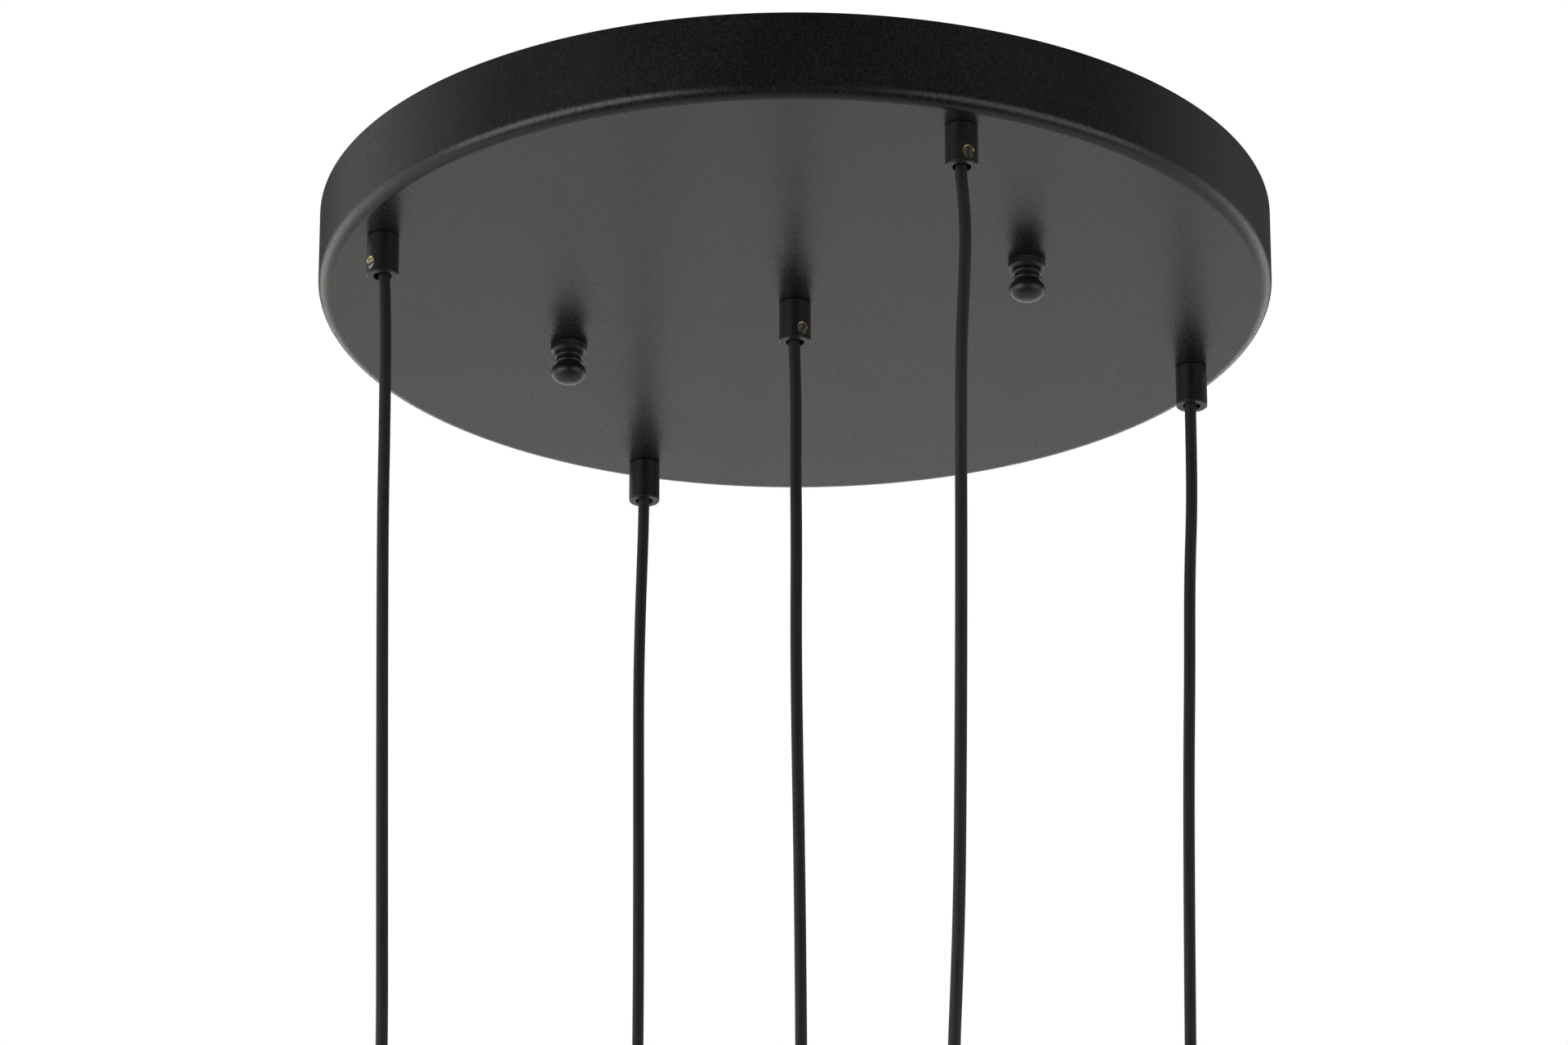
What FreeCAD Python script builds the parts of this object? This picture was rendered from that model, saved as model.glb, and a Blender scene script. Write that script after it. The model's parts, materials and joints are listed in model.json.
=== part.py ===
import FreeCAD, Part
import math
import os
import re

import Sketcher

# A chandelier whose five cords hang from one flat round ceiling canopy.
# Origin: middle of the crossbar's upper face, on the ceiling. +Z is up, the crossbar lies along X.
doc = FreeCAD.newDocument("chandelier")
V = FreeCAD.Vector

# Driving sizes, millimetres and degrees
SIZES = (
    # pressed steel canopy
    ("canopy_radius", 225.0),
    ("canopy_depth", 40.5),
    ("pan_wall", 1.2),
    ("pan_edge_radius", 6.0),
    ("stud_hole_clearance", 0.3),
    ("grip_hole_clearance", 0.1),
    # crossbar on the ceiling box
    ("nut_offset", 118.0),
    ("bar_end_margin", 10.0),
    ("bar_width", 25.0),
    ("bar_thickness", 2.5),
    ("bar_corner_radius", 4.0),
    ("slot_spacing", 88.9),
    ("slot_length", 16.0),
    ("slot_width", 5.0),
    ("thread_clearance", 0.05),
    # studs and their nuts
    ("stud_radius", 2.0),
    ("stud_top_gap", 0.3),
    ("stud_in_nut", 12.0),
    ("lock_nut_flats", 7.0),
    ("lock_nut_height", 3.2),
    # earth screw
    ("earth_offset", 75.0),
    ("earth_screw_radius", 2.0),
    ("earth_head_flats", 8.0),
    ("earth_head_height", 3.5),
    ("earth_ring_radius", 4.5),
    ("earth_ring_thickness", 0.8),
    ("earth_barrel_radius", 1.6),
    ("earth_barrel_length", 7.0),
    ("earth_barrel_start", 5.2),
    ("earth_barrel_gap", 0.1),
    # knurled ball nuts
    ("nut_face_gap", 0.1),
    ("knurl_radius", 8.65),
    ("knurl_height", 3.0),
    ("knurl_foot_radius", 7.6),
    ("knurl_foot_height", 1.6),
    ("neck_radius", 5.9),
    ("bead_pipe_radius", 1.1),
    ("bead_spread_radius", 5.75),
    ("bead_gap", 0.3),
    ("bead_spacing", 3.1),
    ("ball_radius", 8.5),
    ("ball_height", 10.8),
    ("pole_flat", 0.2),
    ("ball_nut_length", 19.7),
    ("nut_bore_spare", 1.0),
    # cord grips
    ("grip_inset", 20.2),
    ("grip_first_angle", 45.0),
    ("grip_radius", 7.5),
    ("grip_length", 20.0),
    ("grip_edge", 0.4),
    ("grip_bore_radius", 4.3),
    ("grip_roof", 3.0),
    ("stem_radius", 4.9),
    ("stem_length", 13.0),
    ("stem_bore_clearance", 0.35),
    ("washer_radius", 9.0),
    ("washer_thickness", 0.8),
    ("stem_nut_flats", 14.0),
    ("stem_nut_height", 3.0),
    ("clamp_height", 4.7),
    ("clamp_screw_radius", 2.8),
    ("clamp_screw_sink", 0.8),
    ("clamp_screw_gap", 0.1),
    ("clamp_slot_width", 0.8),
    ("clamp_slot_depth", 0.9),
    # cords
    ("cord_radius", 2.75),
    ("cord_side_step", 0.9),
    ("pivot_in_grip", 3.0),
    ("pivot_gap", 0.6),
    ("tail_bend_depth", 20.5),
    ("core_radius", 0.8),
    ("core_spread", 1.75),
    # splice blocks
    ("block_width", 29.0),
    ("block_length", 18.0),
    ("block_height", 8.0),
    ("entry_pitch", 4.6),
    ("entry_radius", 1.5),
    ("entry_depth", 8.0),
    ("core_in_entry", 6.0),
    ("block_spacing", 34.0),
    ("block_front", 128.0),
    ("row_pitch", 24.0),
    ("row_reach", 60.0),
    ("row_lift", 12.5),
    ("level_step", 5.0),
    ("core_lead", 6.0),
    ("core_fan", 12.0),
    ("core_run_in", 10.0),
    # how far the lampholder on each cord hangs below the canopy
    ("drop_1", 395.0),
    ("drop_2", 365.0),
    ("drop_3", 425.0),
    ("drop_4", 455.0),
    ("drop_5", 485.0),
    # lampholders
    ("gland_radius", 6.0),
    ("gland_length", 14.0),
    ("gland_edge", 0.4),
    ("gland_bore_clearance", 0.2),
    ("cord_in_gland", 8.0),
    ("gland_core_bore", 2.2),
    ("gland_stem_length", 8.0),
    ("cap_wall", 1.2),
    ("cap_height", 20.0),
    ("cap_round", 8.0),
    ("cup_radius", 19.0),
    ("cup_wall", 1.0),
    ("cup_length", 48.0),
    ("cup_top_gap", 2.0),
    ("core_clearance", 0.1),
    ("core_top_gap", 2.0),
    ("core_recess", 6.0),
    ("socket_depth", 28.0),
    ("socket_radius", 13.25),
    ("shell_wall", 0.35),
    ("shell_length", 26.0),
    ("shell_shoulder_height", 4.0),
    ("shell_flat_radius", 10.6),
    ("shell_seat_radius", 8.0),
    ("contact_width", 5.0),
    ("contact_seat_length", 6.5),
    ("contact_tongue_length", 9.0),
    ("contact_thickness", 0.6),
    ("contact_rise", 14.0),
    ("ring_clearance", 0.08),
    ("ring_wall", 3.4),
    ("ring_height", 8.0),
    ("ring_flange_radius", 25.0),
    ("ring_flange_thickness", 2.0),
    ("ring_above_rim", 16.0),
)
ALIASES = {name for name, value in SIZES}
sheet = doc.addObject("Spreadsheet::Sheet", "Sizes")
for row, (name, value) in enumerate(SIZES, 1):
    sheet.set(f"A{row}", name)
    sheet.set(f"B{row}", str(value))
    sheet.setAlias(f"B{row}", name)
doc.recompute()

OUTER_GRIPS = 4
GRIPS = range(1, OUTER_GRIPS + 2)
# Direction in which each grip's clamp screw faces, degrees from +X
CLAMP_ANGLES = {1: 60.0, 2: 100.0, 3: -118.0, 4: -42.0, 5: -35.0}
# Part of the shorter of two runs that the arc between them takes up
ARC_SHARE = 0.45
TINY = 1e-4
parts = []


def mm(name):
    """The number that a cell of the sheet holds."""
    return float(sheet.get(name))


def cells(text):
    """Writes the sheet's name before each alias in an expression."""
    return re.sub(r"[a-z_]+", lambda word: "Sizes." + word[0] if word[0] in ALIASES else word[0], text)


def bind(thing, **sizes):
    """Ties properties of an object to expressions of the sheet's cells."""
    for prop, text in sizes.items():
        thing.setExpression(prop, cells(text))
    return thing


def turned(angle, axis=V(0, 0, 1)):
    return FreeCAD.Rotation(axis, angle)


def place(thing, x="0", y="0", z="0", rotation=turned(0)):
    """Puts an object at a place worked out from the sheet."""
    thing.Placement = FreeCAD.Placement(V(), rotation)
    for axis, text in (("x", x), ("y", y), ("z", z)):
        if text != "0":
            thing.setExpression("Placement.Base." + axis, cells(text))
    return thing


def keep(thing, node):
    """Names a finished piece and lists it for export."""
    thing.Label = node
    parts.append(thing)
    return thing


def primitive(kind, name, **sizes):
    return bind(doc.addObject("Part::" + kind, name), **sizes)


def cut(name, base, tool):
    thing = doc.addObject("Part::Cut", name)
    thing.Base, thing.Tool = base, tool
    return thing


def fuse(name, shapes):
    thing = doc.addObject("Part::MultiFuse", name)
    thing.Shapes = shapes
    return thing


def group(name, links):
    thing = doc.addObject("Part::Compound", name)
    thing.Links = links
    return thing


def new_body(name):
    return doc.addObject("PartDesign::Body", name)


def new_sketch(body, suffix, plane):
    sketch = body.newObject("Sketcher::SketchObject", body.Name + "_" + suffix)
    support = next(item for item in body.Origin.OriginFeatures if item.Role == plane)
    sketch.AttachmentSupport = (support, [""])
    sketch.MapMode = "FlatFace"
    return sketch


def tie_point(sketch, geometry, point, across, up):
    """Holds a point of the sketch at a place worked out from the sheet."""
    for kind, axis, text in (("DistanceX", -2, across), ("DistanceY", -1, up)):
        if text == "0":
            sketch.addConstraint(Sketcher.Constraint("PointOnObject", geometry, point, axis))
        else:
            number = sketch.addConstraint(Sketcher.Constraint(kind, -1, 1, geometry, point, 1.0))
            sketch.setExpression(f"Constraints[{number}]", cells(text))


def outline(body, suffix, corners, plane="XZ_Plane"):
    """A closed outline of straight sides whose corners follow the sheet."""
    sketch = new_sketch(body, suffix, plane)
    count = len(corners)
    angles = [math.tau * i / count for i in range(count)]
    ring = [V(1 + math.cos(angle), 1 + math.sin(angle), 0) for angle in angles]
    for i in range(count):
        sketch.addGeometry(Part.LineSegment(ring[i], ring[(i + 1) % count]))
    for i in range(count):
        sketch.addConstraint(Sketcher.Constraint("Coincident", i, 2, (i + 1) % count, 1))
    for i, (across, up) in enumerate(corners):
        tie_point(sketch, i, 1, across, up)
    return sketch


def revolve(body, corners, suffix="outline"):
    """Turns an outline of radii and heights about the body's own Z axis."""
    feature = body.newObject("PartDesign::Revolution", body.Name + "_turned_" + suffix)
    feature.Profile = outline(body, suffix, corners)
    feature.ReferenceAxis = (feature.Profile[0], ["V_Axis"])
    feature.Angle = 360.0
    return feature


def round_hole(body, suffix, plane, across, up, radius, length):
    """Cuts a round hole from an origin plane towards that plane's positive side."""
    sketch = new_sketch(body, suffix, plane)
    sketch.addGeometry(Part.Circle(V(), V(0, 0, 1), 1.0))
    tie_point(sketch, 0, 3, across, up)
    number = sketch.addConstraint(Sketcher.Constraint("Radius", 0, 1.0))
    sketch.setExpression(f"Constraints[{number}]", cells(radius))
    hole = body.newObject("PartDesign::Pocket", body.Name + "_hole_" + suffix)
    hole.Profile = sketch
    hole.Reversed = True
    bind(hole, Length=length)
    return hole


def circle_edges(feature, radius, height):
    """Names of a feature's round edges of one radius at one height."""
    names = []
    for number, edge in enumerate(feature.Shape.Edges, 1):
        curve = edge.Curve
        if isinstance(curve, Part.Circle):
            if abs(curve.Radius - radius) < TINY and abs(curve.Center.z - height) < TINY:
                names.append(f"Edge{number}")
    return names


def round_edges(body, suffix, feature, names, radius):
    fillet = body.newObject("PartDesign::Fillet", body.Name + "_" + suffix)
    fillet.Base = (feature, names)
    return bind(fillet, Radius=radius)


def grip_axis(n):
    """Expressions for the place of cord grip n: four stand in a circle round the fifth."""
    if n > OUTER_GRIPS:
        return "0", "0"
    angle = f"((grip_first_angle + {n - 1} * 360 / {OUTER_GRIPS}) * 1deg)"
    return f"(canopy_radius - grip_inset) * cos{angle}", f"(canopy_radius - grip_inset) * sin{angle}"


grip_circle = mm("canopy_radius") - mm("grip_inset")


def grip_centre(n):
    if n > OUTER_GRIPS:
        return V()
    angle = math.radians(mm("grip_first_angle") + (n - 1) * 360 / OUTER_GRIPS)
    return V(math.cos(angle), math.sin(angle), 0) * grip_circle


# Canopy pan: drawn with its underside at height zero, then lowered from the ceiling
pan = new_body("canopy_pan")
pan_turned = revolve(pan, [
    ("0", "0"), ("canopy_radius", "0"), ("canopy_radius", "canopy_depth"),
    ("canopy_radius - pan_wall", "canopy_depth"), ("canopy_radius - pan_wall", "pan_wall"),
    ("0", "pan_wall")])
doc.recompute()
outer_edge = circle_edges(pan_turned, mm("canopy_radius"), 0)
pan_outer = round_edges(pan, "outer_edge", pan_turned, outer_edge, "pan_edge_radius")
doc.recompute()
inner_edge = circle_edges(pan_outer, mm("canopy_radius") - mm("pan_wall"), mm("pan_wall"))
round_edges(pan, "inner_edge", pan_outer, inner_edge, "pan_edge_radius - pan_wall")
corner_hole = round_hole(pan, "grip_hole", "XY_Plane", *grip_axis(1),
                         "stem_radius + grip_hole_clearance", "2 * pan_wall")
corner_holes = pan.newObject("PartDesign::PolarPattern", "canopy_pan_grip_holes")
corner_holes.Originals = [corner_hole]
corner_holes.Axis = (corner_hole.Profile[0], ["N_Axis"])
corner_holes.Angle = 360.0
corner_holes.Occurrences = OUTER_GRIPS
pan.Tip = corner_holes
round_hole(pan, "middle_hole", "XY_Plane", "0", "0", "stem_radius + grip_hole_clearance", "2 * pan_wall")
stud_hole = round_hole(pan, "stud_hole", "XY_Plane", "nut_offset", "0",
                       "stud_radius + stud_hole_clearance", "2 * pan_wall")
stud_holes = pan.newObject("PartDesign::PolarPattern", "canopy_pan_stud_holes")
stud_holes.Originals = [stud_hole]
stud_holes.Axis = (stud_hole.Profile[0], ["N_Axis"])
stud_holes.Angle = 360.0
stud_holes.Occurrences = 2
pan.Tip = stud_holes
place(pan, z="-canopy_depth")
keep(pan, "canopy_pan")

# Crossbar: a flat strap with rounded corners, drawn with its upper face on the ceiling
bar = new_body("crossbar")
half_bar = "(nut_offset + bar_end_margin)"
bar_sketch = outline(bar, "strap", [
    (f"-{half_bar}", "-bar_width / 2"), (half_bar, "-bar_width / 2"),
    (half_bar, "bar_width / 2"), (f"-{half_bar}", "bar_width / 2")], "XY_Plane")
strap = bar.newObject("PartDesign::Pad", "crossbar_pad")
strap.Profile = bar_sketch
bind(strap, Length="bar_thickness")
doc.recompute()
upright = [f"Edge{number}" for number, edge in enumerate(strap.Shape.Edges, 1)
           if abs(edge.tangentAt(edge.FirstParameter).z) > 1 - TINY]
round_edges(bar, "corners", strap, upright, "bar_corner_radius")
bar_stud = round_hole(bar, "stud_hole", "XY_Plane", "nut_offset", "0", "stud_radius + thread_clearance",
                      "2 * bar_thickness")
slot = outline(bar, "slot", [
    ("(slot_spacing - slot_length + slot_width) / 2", "-slot_width / 2"),
    ("(slot_spacing + slot_length - slot_width) / 2", "-slot_width / 2"),
    ("(slot_spacing + slot_length - slot_width) / 2", "slot_width / 2"),
    ("(slot_spacing - slot_length + slot_width) / 2", "slot_width / 2")], "XY_Plane")
slot_cut = bar.newObject("PartDesign::Pocket", "crossbar_slot_middle")
slot_cut.Profile = slot
slot_cut.Reversed = True
bind(slot_cut, Length="2 * bar_thickness")
slot_ends = [round_hole(bar, f"slot_end_{word}", "XY_Plane",
                        f"(slot_spacing {sign} (slot_length - slot_width)) / 2", "0", "slot_width / 2",
                        "2 * bar_thickness") for word, sign in (("inner", "-"), ("outer", "+"))]
bar_pattern = bar.newObject("PartDesign::PolarPattern", "crossbar_both_ends")
bar_pattern.Originals = [bar_stud, slot_cut, *slot_ends]
bar_pattern.Axis = (bar_stud.Profile[0], ["N_Axis"])
bar_pattern.Angle = 360.0
bar_pattern.Occurrences = 2
bar.Tip = bar_pattern
round_hole(bar, "earth_hole", "XY_Plane", "earth_offset", "0", "earth_screw_radius + thread_clearance",
           "2 * bar_thickness")
place(bar, z="-bar_thickness")
keep(bar, "crossbar")

# Two studs, each with a hex nut that locks it under the crossbar
studs, stud_nuts = [], []
stud_length = "canopy_depth + stud_in_nut - stud_top_gap"
for side, sign in (("left", "-"), ("right", "")):
    stud = primitive("Cylinder", f"stud_{side}", Radius="stud_radius", Height=stud_length)
    studs.append(place(stud, x=f"{sign}nut_offset", z="-(canopy_depth + stud_in_nut)"))
    hexagon = primitive("Prism", f"stud_nut_block_{side}", Height="lock_nut_height",
                        Circumradius="lock_nut_flats / sqrt(3)")
    bore = primitive("Cylinder", f"stud_nut_bore_{side}", Radius="stud_radius + thread_clearance",
                     Height="lock_nut_height")
    nut = cut(f"stud_nut_{side}", hexagon, bore)
    stud_nuts.append(place(nut, x=f"{sign}nut_offset", z="-(bar_thickness + lock_nut_height)"))
keep(group("canopy_studs", studs), "canopy_studs")
keep(group("stud_lock_nuts", stud_nuts), "stud_lock_nuts")

# Earth screw: hex head below the crossbar, shank up into its hole
head = primitive("Prism", "earth_head", Height="earth_head_height", Circumradius="earth_head_flats / sqrt(3)")
shank = primitive("Cylinder", "earth_shank", Radius="earth_screw_radius",
                  Height="earth_head_height + earth_ring_thickness + bar_thickness - stud_top_gap")
earth = fuse("ground_screw", [head, shank])
keep(place(earth, x="earth_offset", z="-(bar_thickness + earth_ring_thickness + earth_head_height)"),
     "ground_screw")

# Ball nuts: knurled ring, tapered foot, neck with two beads, and an oval ball with a small flat pole
for side, sign in (("left", "-"), ("right", "")):
    name = f"ball_nut_{side}"
    rim = primitive("Cylinder", name + "_rim", Radius="knurl_radius", Height="knurl_height")
    place(rim, z="-knurl_height")
    foot = primitive("Cone", name + "_foot", Radius1="knurl_foot_radius", Radius2="knurl_radius",
                     Height="knurl_foot_height")
    place(foot, z="-(knurl_height + knurl_foot_height)")
    ball = primitive("Ellipsoid", name + "_ball", Radius1="ball_height / 2", Radius2="ball_radius",
                     Radius3="ball_radius")
    place(ball, z="-(ball_nut_length - ball_height / 2)")
    neck = primitive("Cylinder", name + "_neck", Radius="neck_radius",
                     Height="ball_nut_length - ball_height / 2")
    place(neck, z="-(ball_nut_length - ball_height / 2)")
    beads = []
    for step in range(2):
        bead = primitive("Torus", f"{name}_bead_{step}", Radius1="bead_spread_radius",
                         Radius2="bead_pipe_radius")
        drop = "knurl_height + knurl_foot_height + bead_gap + bead_pipe_radius"
        beads.append(place(bead, z=f"-({drop} + {step} * bead_spacing)"))
    whole = fuse(name + "_solid", [rim, foot, neck, *beads, ball])
    thread = primitive("Cylinder", name + "_thread", Radius="stud_radius + thread_clearance",
                       Height="stud_in_nut + nut_bore_spare")
    place(thread, z="-(stud_in_nut + nut_bore_spare)")
    pole = primitive("Cylinder", name + "_pole", Radius="ball_radius", Height="2 * pole_flat")
    place(pole, z="-(ball_nut_length + pole_flat)")
    ball_nut = cut(name, whole, fuse(name + "_cuts", [thread, pole]))
    keep(place(ball_nut, x=f"{sign}nut_offset", z="-(canopy_depth + nut_face_gap)"), name)

# Cord grips: turned barrels with a threaded stem through the canopy and a screw hole in one side
washers, stem_nuts, clamp_screws = [], [], []
for n in GRIPS:
    grip = new_body(f"cord_grip_{n}")
    revolve(grip, [
        ("grip_bore_radius + grip_edge / 2", "0"), ("grip_radius - grip_edge", "0"),
        ("grip_radius", "grip_edge"), ("grip_radius", "grip_length - grip_edge"),
        ("grip_radius - grip_edge", "grip_length"), ("stem_radius", "grip_length"),
        ("stem_radius", "grip_length + stem_length"),
        ("cord_radius + stem_bore_clearance", "grip_length + stem_length"),
        ("cord_radius + stem_bore_clearance", "grip_length - grip_roof"),
        ("grip_bore_radius", "grip_length - grip_roof"),
        ("grip_bore_radius", "grip_edge / 2")])
    round_hole(grip, "screw_hole", "YZ_Plane", "0", "clamp_height", "clamp_screw_radius + thread_clearance",
               "2 * grip_radius")
    place(grip, *grip_axis(n), "-(canopy_depth + grip_length)", turned(CLAMP_ANGLES[n]))
    keep(grip, f"cord_grip_{n}")

    ring = primitive("Cylinder", f"washer_{n}_disc", Radius="washer_radius", Height="washer_thickness")
    ring_bore = primitive("Cylinder", f"washer_{n}_bore", Radius="stem_radius + 2 * thread_clearance",
                          Height="washer_thickness")
    washers.append(place(cut(f"washer_{n}", ring, ring_bore), *grip_axis(n), "-(canopy_depth - pan_wall)"))
    hexagon = primitive("Prism", f"stem_nut_{n}_block", Height="stem_nut_height",
                        Circumradius="stem_nut_flats / sqrt(3)")
    nut_bore = primitive("Cylinder", f"stem_nut_{n}_bore", Radius="stem_radius + thread_clearance",
                         Height="stem_nut_height")
    stem_nut = cut(f"stem_nut_{n}", hexagon, nut_bore)
    stem_nuts.append(place(stem_nut, *grip_axis(n), "-(canopy_depth - pan_wall - washer_thickness)"))

    # Clamp screw: its tip rests by the cord, its slotted end is sunk below the barrel's skin
    tip = "(cord_radius - cord_side_step + clamp_screw_gap)"
    screw_length = f"grip_radius - clamp_screw_sink - {tip}"
    rod = primitive("Cylinder", f"clamp_screw_{n}_rod", Radius="clamp_screw_radius", Height=screw_length)
    slot_box = primitive("Box", f"clamp_screw_{n}_slot", Length="clamp_slot_width",
                         Width="4 * clamp_screw_radius", Height="2 * clamp_slot_depth")
    place(slot_box, "-clamp_slot_width / 2", "-2 * clamp_screw_radius", screw_length + " - clamp_slot_depth")
    screw = cut(f"clamp_screw_{n}", rod, slot_box)
    across, along = grip_axis(n)
    facing = f"({CLAMP_ANGLES[n]} * 1deg)"
    clamp_screws.append(place(screw, f"{across} + {tip} * cos{facing}", f"{along} + {tip} * sin{facing}",
                              "-(canopy_depth + grip_length - clamp_height)",
                              turned(CLAMP_ANGLES[n]) * turned(90, V(0, 1, 0))))
keep(group("grip_washers", washers), "grip_washers")
keep(group("grip_lock_nuts", stem_nuts), "grip_lock_nuts")
keep(group("grip_set_screws", clamp_screws), "grip_set_screws")


def tube(label, route, radius):
    """A round cord along straight runs that tangent arcs join, and the tightest of its arcs."""
    edges, bends, here = [], [], route[0]
    for before, corner, after in zip(route, route[1:], route[2:]):
        back, ahead = before - corner, after - corner
        reach = ARC_SHARE * min(back.Length, ahead.Length)
        half_turn = (math.pi - back.getAngle(ahead)) / 2
        bend = reach / math.tan(half_turn)
        back.normalize()
        ahead.normalize()
        inward = back + ahead
        inward.normalize()
        start, end = corner + back * reach, corner + ahead * reach
        middle = corner + inward * (bend / math.cos(half_turn) - bend)
        edges.append(Part.LineSegment(here, start).toShape())
        edges.append(Part.Arc(start, middle, end).toShape())
        bends.append(bend)
        here = end
    edges.append(Part.LineSegment(here, route[-1]).toShape())
    path = Part.Wire(edges)
    section = Part.Wire(Part.Circle(route[0], route[1] - route[0], radius).toShape())
    solid = path.makePipeShell([section], True, False)
    share = solid.Volume / (math.pi * radius ** 2 * path.Length)
    print(label, "length", round(path.Length, 1), "radii", [round(bend) for bend in bends],
          "volume share", round(share, 4))
    return solid


def made(name, shape):
    """A piece whose shape is worked out here, as a feature of the document."""
    thing = doc.addObject("Part::Feature", name)
    thing.Shape = shape
    return thing


face = -mm("canopy_depth")
lip = face - mm("grip_length")
pivot_level = lip + mm("pivot_in_grip")


def cord_foot(n):
    """Middle of cord n where it leaves its clamp, pushed off the grip's axis by the screw."""
    away = math.radians(CLAMP_ANGLES[n] + 180)
    side = V(math.cos(away), math.sin(away), 0) * mm("cord_side_step")
    return grip_centre(n) + side + V(0, 0, pivot_level)


# Jacketed cord ends inside the canopy: up the grips, over and down to one row, all pointing +Y.
# Their points are shares of the grips' circle, and of the canopy's depth down from the ceiling.
TAIL_SHARES = {
    1: [(0.6987, 0.6543, 0.2346), (0.6836, 0.5713, 0.2716), (0.6543, 0.4492, 0.4074),
        (0.5859, 0.2637, 0.5556), (0.5176, 0.083, 0.6543), (0.4199, -0.0244, 0.6963),
        (0.3027, -0.0195, 0.7062), (0.2393, 0.0732, 0.7012)],
    4: [(0.6709, -0.6675, 0.2346), (0.6152, -0.6079, 0.2716), (0.5176, -0.5029, 0.4321),
        (0.4004, -0.3711, 0.5926), (0.2637, -0.2002, 0.6914), (0.1611, -0.0146, 0.7062)],
    5: [(0, 0.0537, 0.2346), (0, 0.1318, 0.2716)],
}
TAIL_SHARES[2], TAIL_SHARES[3] = [[(-x, y, z) for x, y, z in TAIL_SHARES[n]] for n in (1, 4)]
# Part of the row's reach at which each cord end comes into line
ROW_START_SHARES = {1: 0.6333, 2: 0.6333, 3: 0.6333, 4: 0.6333, 5: 0.7333}


def turn_from_back(n):
    """Degrees from +Y to the side on which grip n lies, the middle one counted with the front."""
    return 180.0 if n > OUTER_GRIPS else (mm("grip_first_angle") + (n - 1) * 360 / OUTER_GRIPS - 90) % 360


row_order = sorted(GRIPS, key=turn_from_back)
row_level = face + mm("row_lift")
row_front = mm("row_reach")
row_places = {n: (order - OUTER_GRIPS / 2) * mm("row_pitch") for order, n in enumerate(row_order)}
tails = []
for n in GRIPS:
    foot, centre = cord_foot(n), grip_centre(n)
    route = [foot, foot + V(0, 0, mm("clamp_height")),
             centre + V(0, 0, face - mm("grip_roof") + mm("pivot_in_grip")),
             centre - V(0, 0, mm("tail_bend_depth"))]
    route += [V(x * grip_circle, y * grip_circle, z * face) for x, y, z in TAIL_SHARES[n]]
    route += [V(row_places[n], share * row_front, row_level) for share in (ROW_START_SHARES[n], 1)]
    tails.append(tube(f"tail {n}", route, mm("cord_radius")))
keep(made("cord_tails", Part.makeCompound(tails)), "cord_tails")

# Cores: each kind keeps to its own level, so that no core crosses another
KINDS = (("live", -1), ("neutral", 0), ("earth", 1))
# Points of the earth lead, as shares of the earth screw's offset, the blocks' front and the row's level
LEAD_SHARES = [(0.8, 0.7188, 0.75), (1.0133, 0.4844, 0.5357), (1.0267, 0.3438, 0.3214), (1, 0.2031, 0.15)]
entry_count = len(GRIPS) + 1
core_end = mm("block_front") + mm("core_in_entry")
core_gather = mm("block_front") - mm("core_run_in")


def entry_place(step, number):
    """How far across the splice block of one kind has its entry of one number."""
    return step * mm("block_spacing") + (number - (entry_count - 1) / 2) * mm("entry_pitch")


for kind, step in KINDS:
    level = row_level + step * mm("level_step")
    cores = []
    for number, n in enumerate(row_order):
        here, there = row_places[n], entry_place(step, number)
        start_level = row_level + step * mm("core_spread")
        points = [(here, row_front, start_level), (here, row_front + mm("core_lead"), start_level)]
        if step:
            points.append((here, row_front + mm("core_lead") + mm("core_fan"), level))
        points += [(there, core_gather, level), (there, core_end, level)]
        cores.append(tube(f"{kind} core {n}", [V(*point) for point in points], mm("core_radius")))
    if kind == "earth":
        # The lead from the spare entry to the crimped ring under the earth screw
        ring_level = -(mm("bar_thickness") + mm("earth_ring_thickness"))
        barrel_level = -(mm("bar_thickness") + mm("earth_barrel_gap") + mm("earth_barrel_radius"))
        barrel_end = mm("earth_barrel_start") + mm("earth_barrel_length")
        spare = entry_place(step, entry_count - 1)
        points = [(spare, core_end, level), (spare, core_gather, level)]
        points += [(x * mm("earth_offset"), y * mm("block_front"), z * row_level) for x, y, z in LEAD_SHARES]
        points.append((mm("earth_offset"), barrel_end, barrel_level))
        cores.append(tube("earth lead", [V(*point) for point in points], mm("core_radius")))
        centre = V(mm("earth_offset"), 0, ring_level)
        ring = Part.makeCylinder(mm("earth_ring_radius"), mm("earth_ring_thickness"), centre)
        neck = Part.makeBox(2 * mm("earth_barrel_radius"), barrel_end, mm("earth_ring_thickness"),
                            centre - V(mm("earth_barrel_radius"), 0, 0))
        barrel = Part.makeCylinder(mm("earth_barrel_radius"), mm("earth_barrel_length"),
                                   V(centre.x, mm("earth_barrel_start"), barrel_level), V(0, 1, 0))
        hole = Part.makeCylinder(mm("earth_screw_radius") + mm("thread_clearance"),
                                 mm("earth_ring_thickness"), centre)
        cores.append(ring.fuse([neck, barrel]).removeSplitter().cut(hole))
    keep(made(f"{kind}_wires", Part.makeCompound(cores)), f"{kind}_wires")

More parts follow.
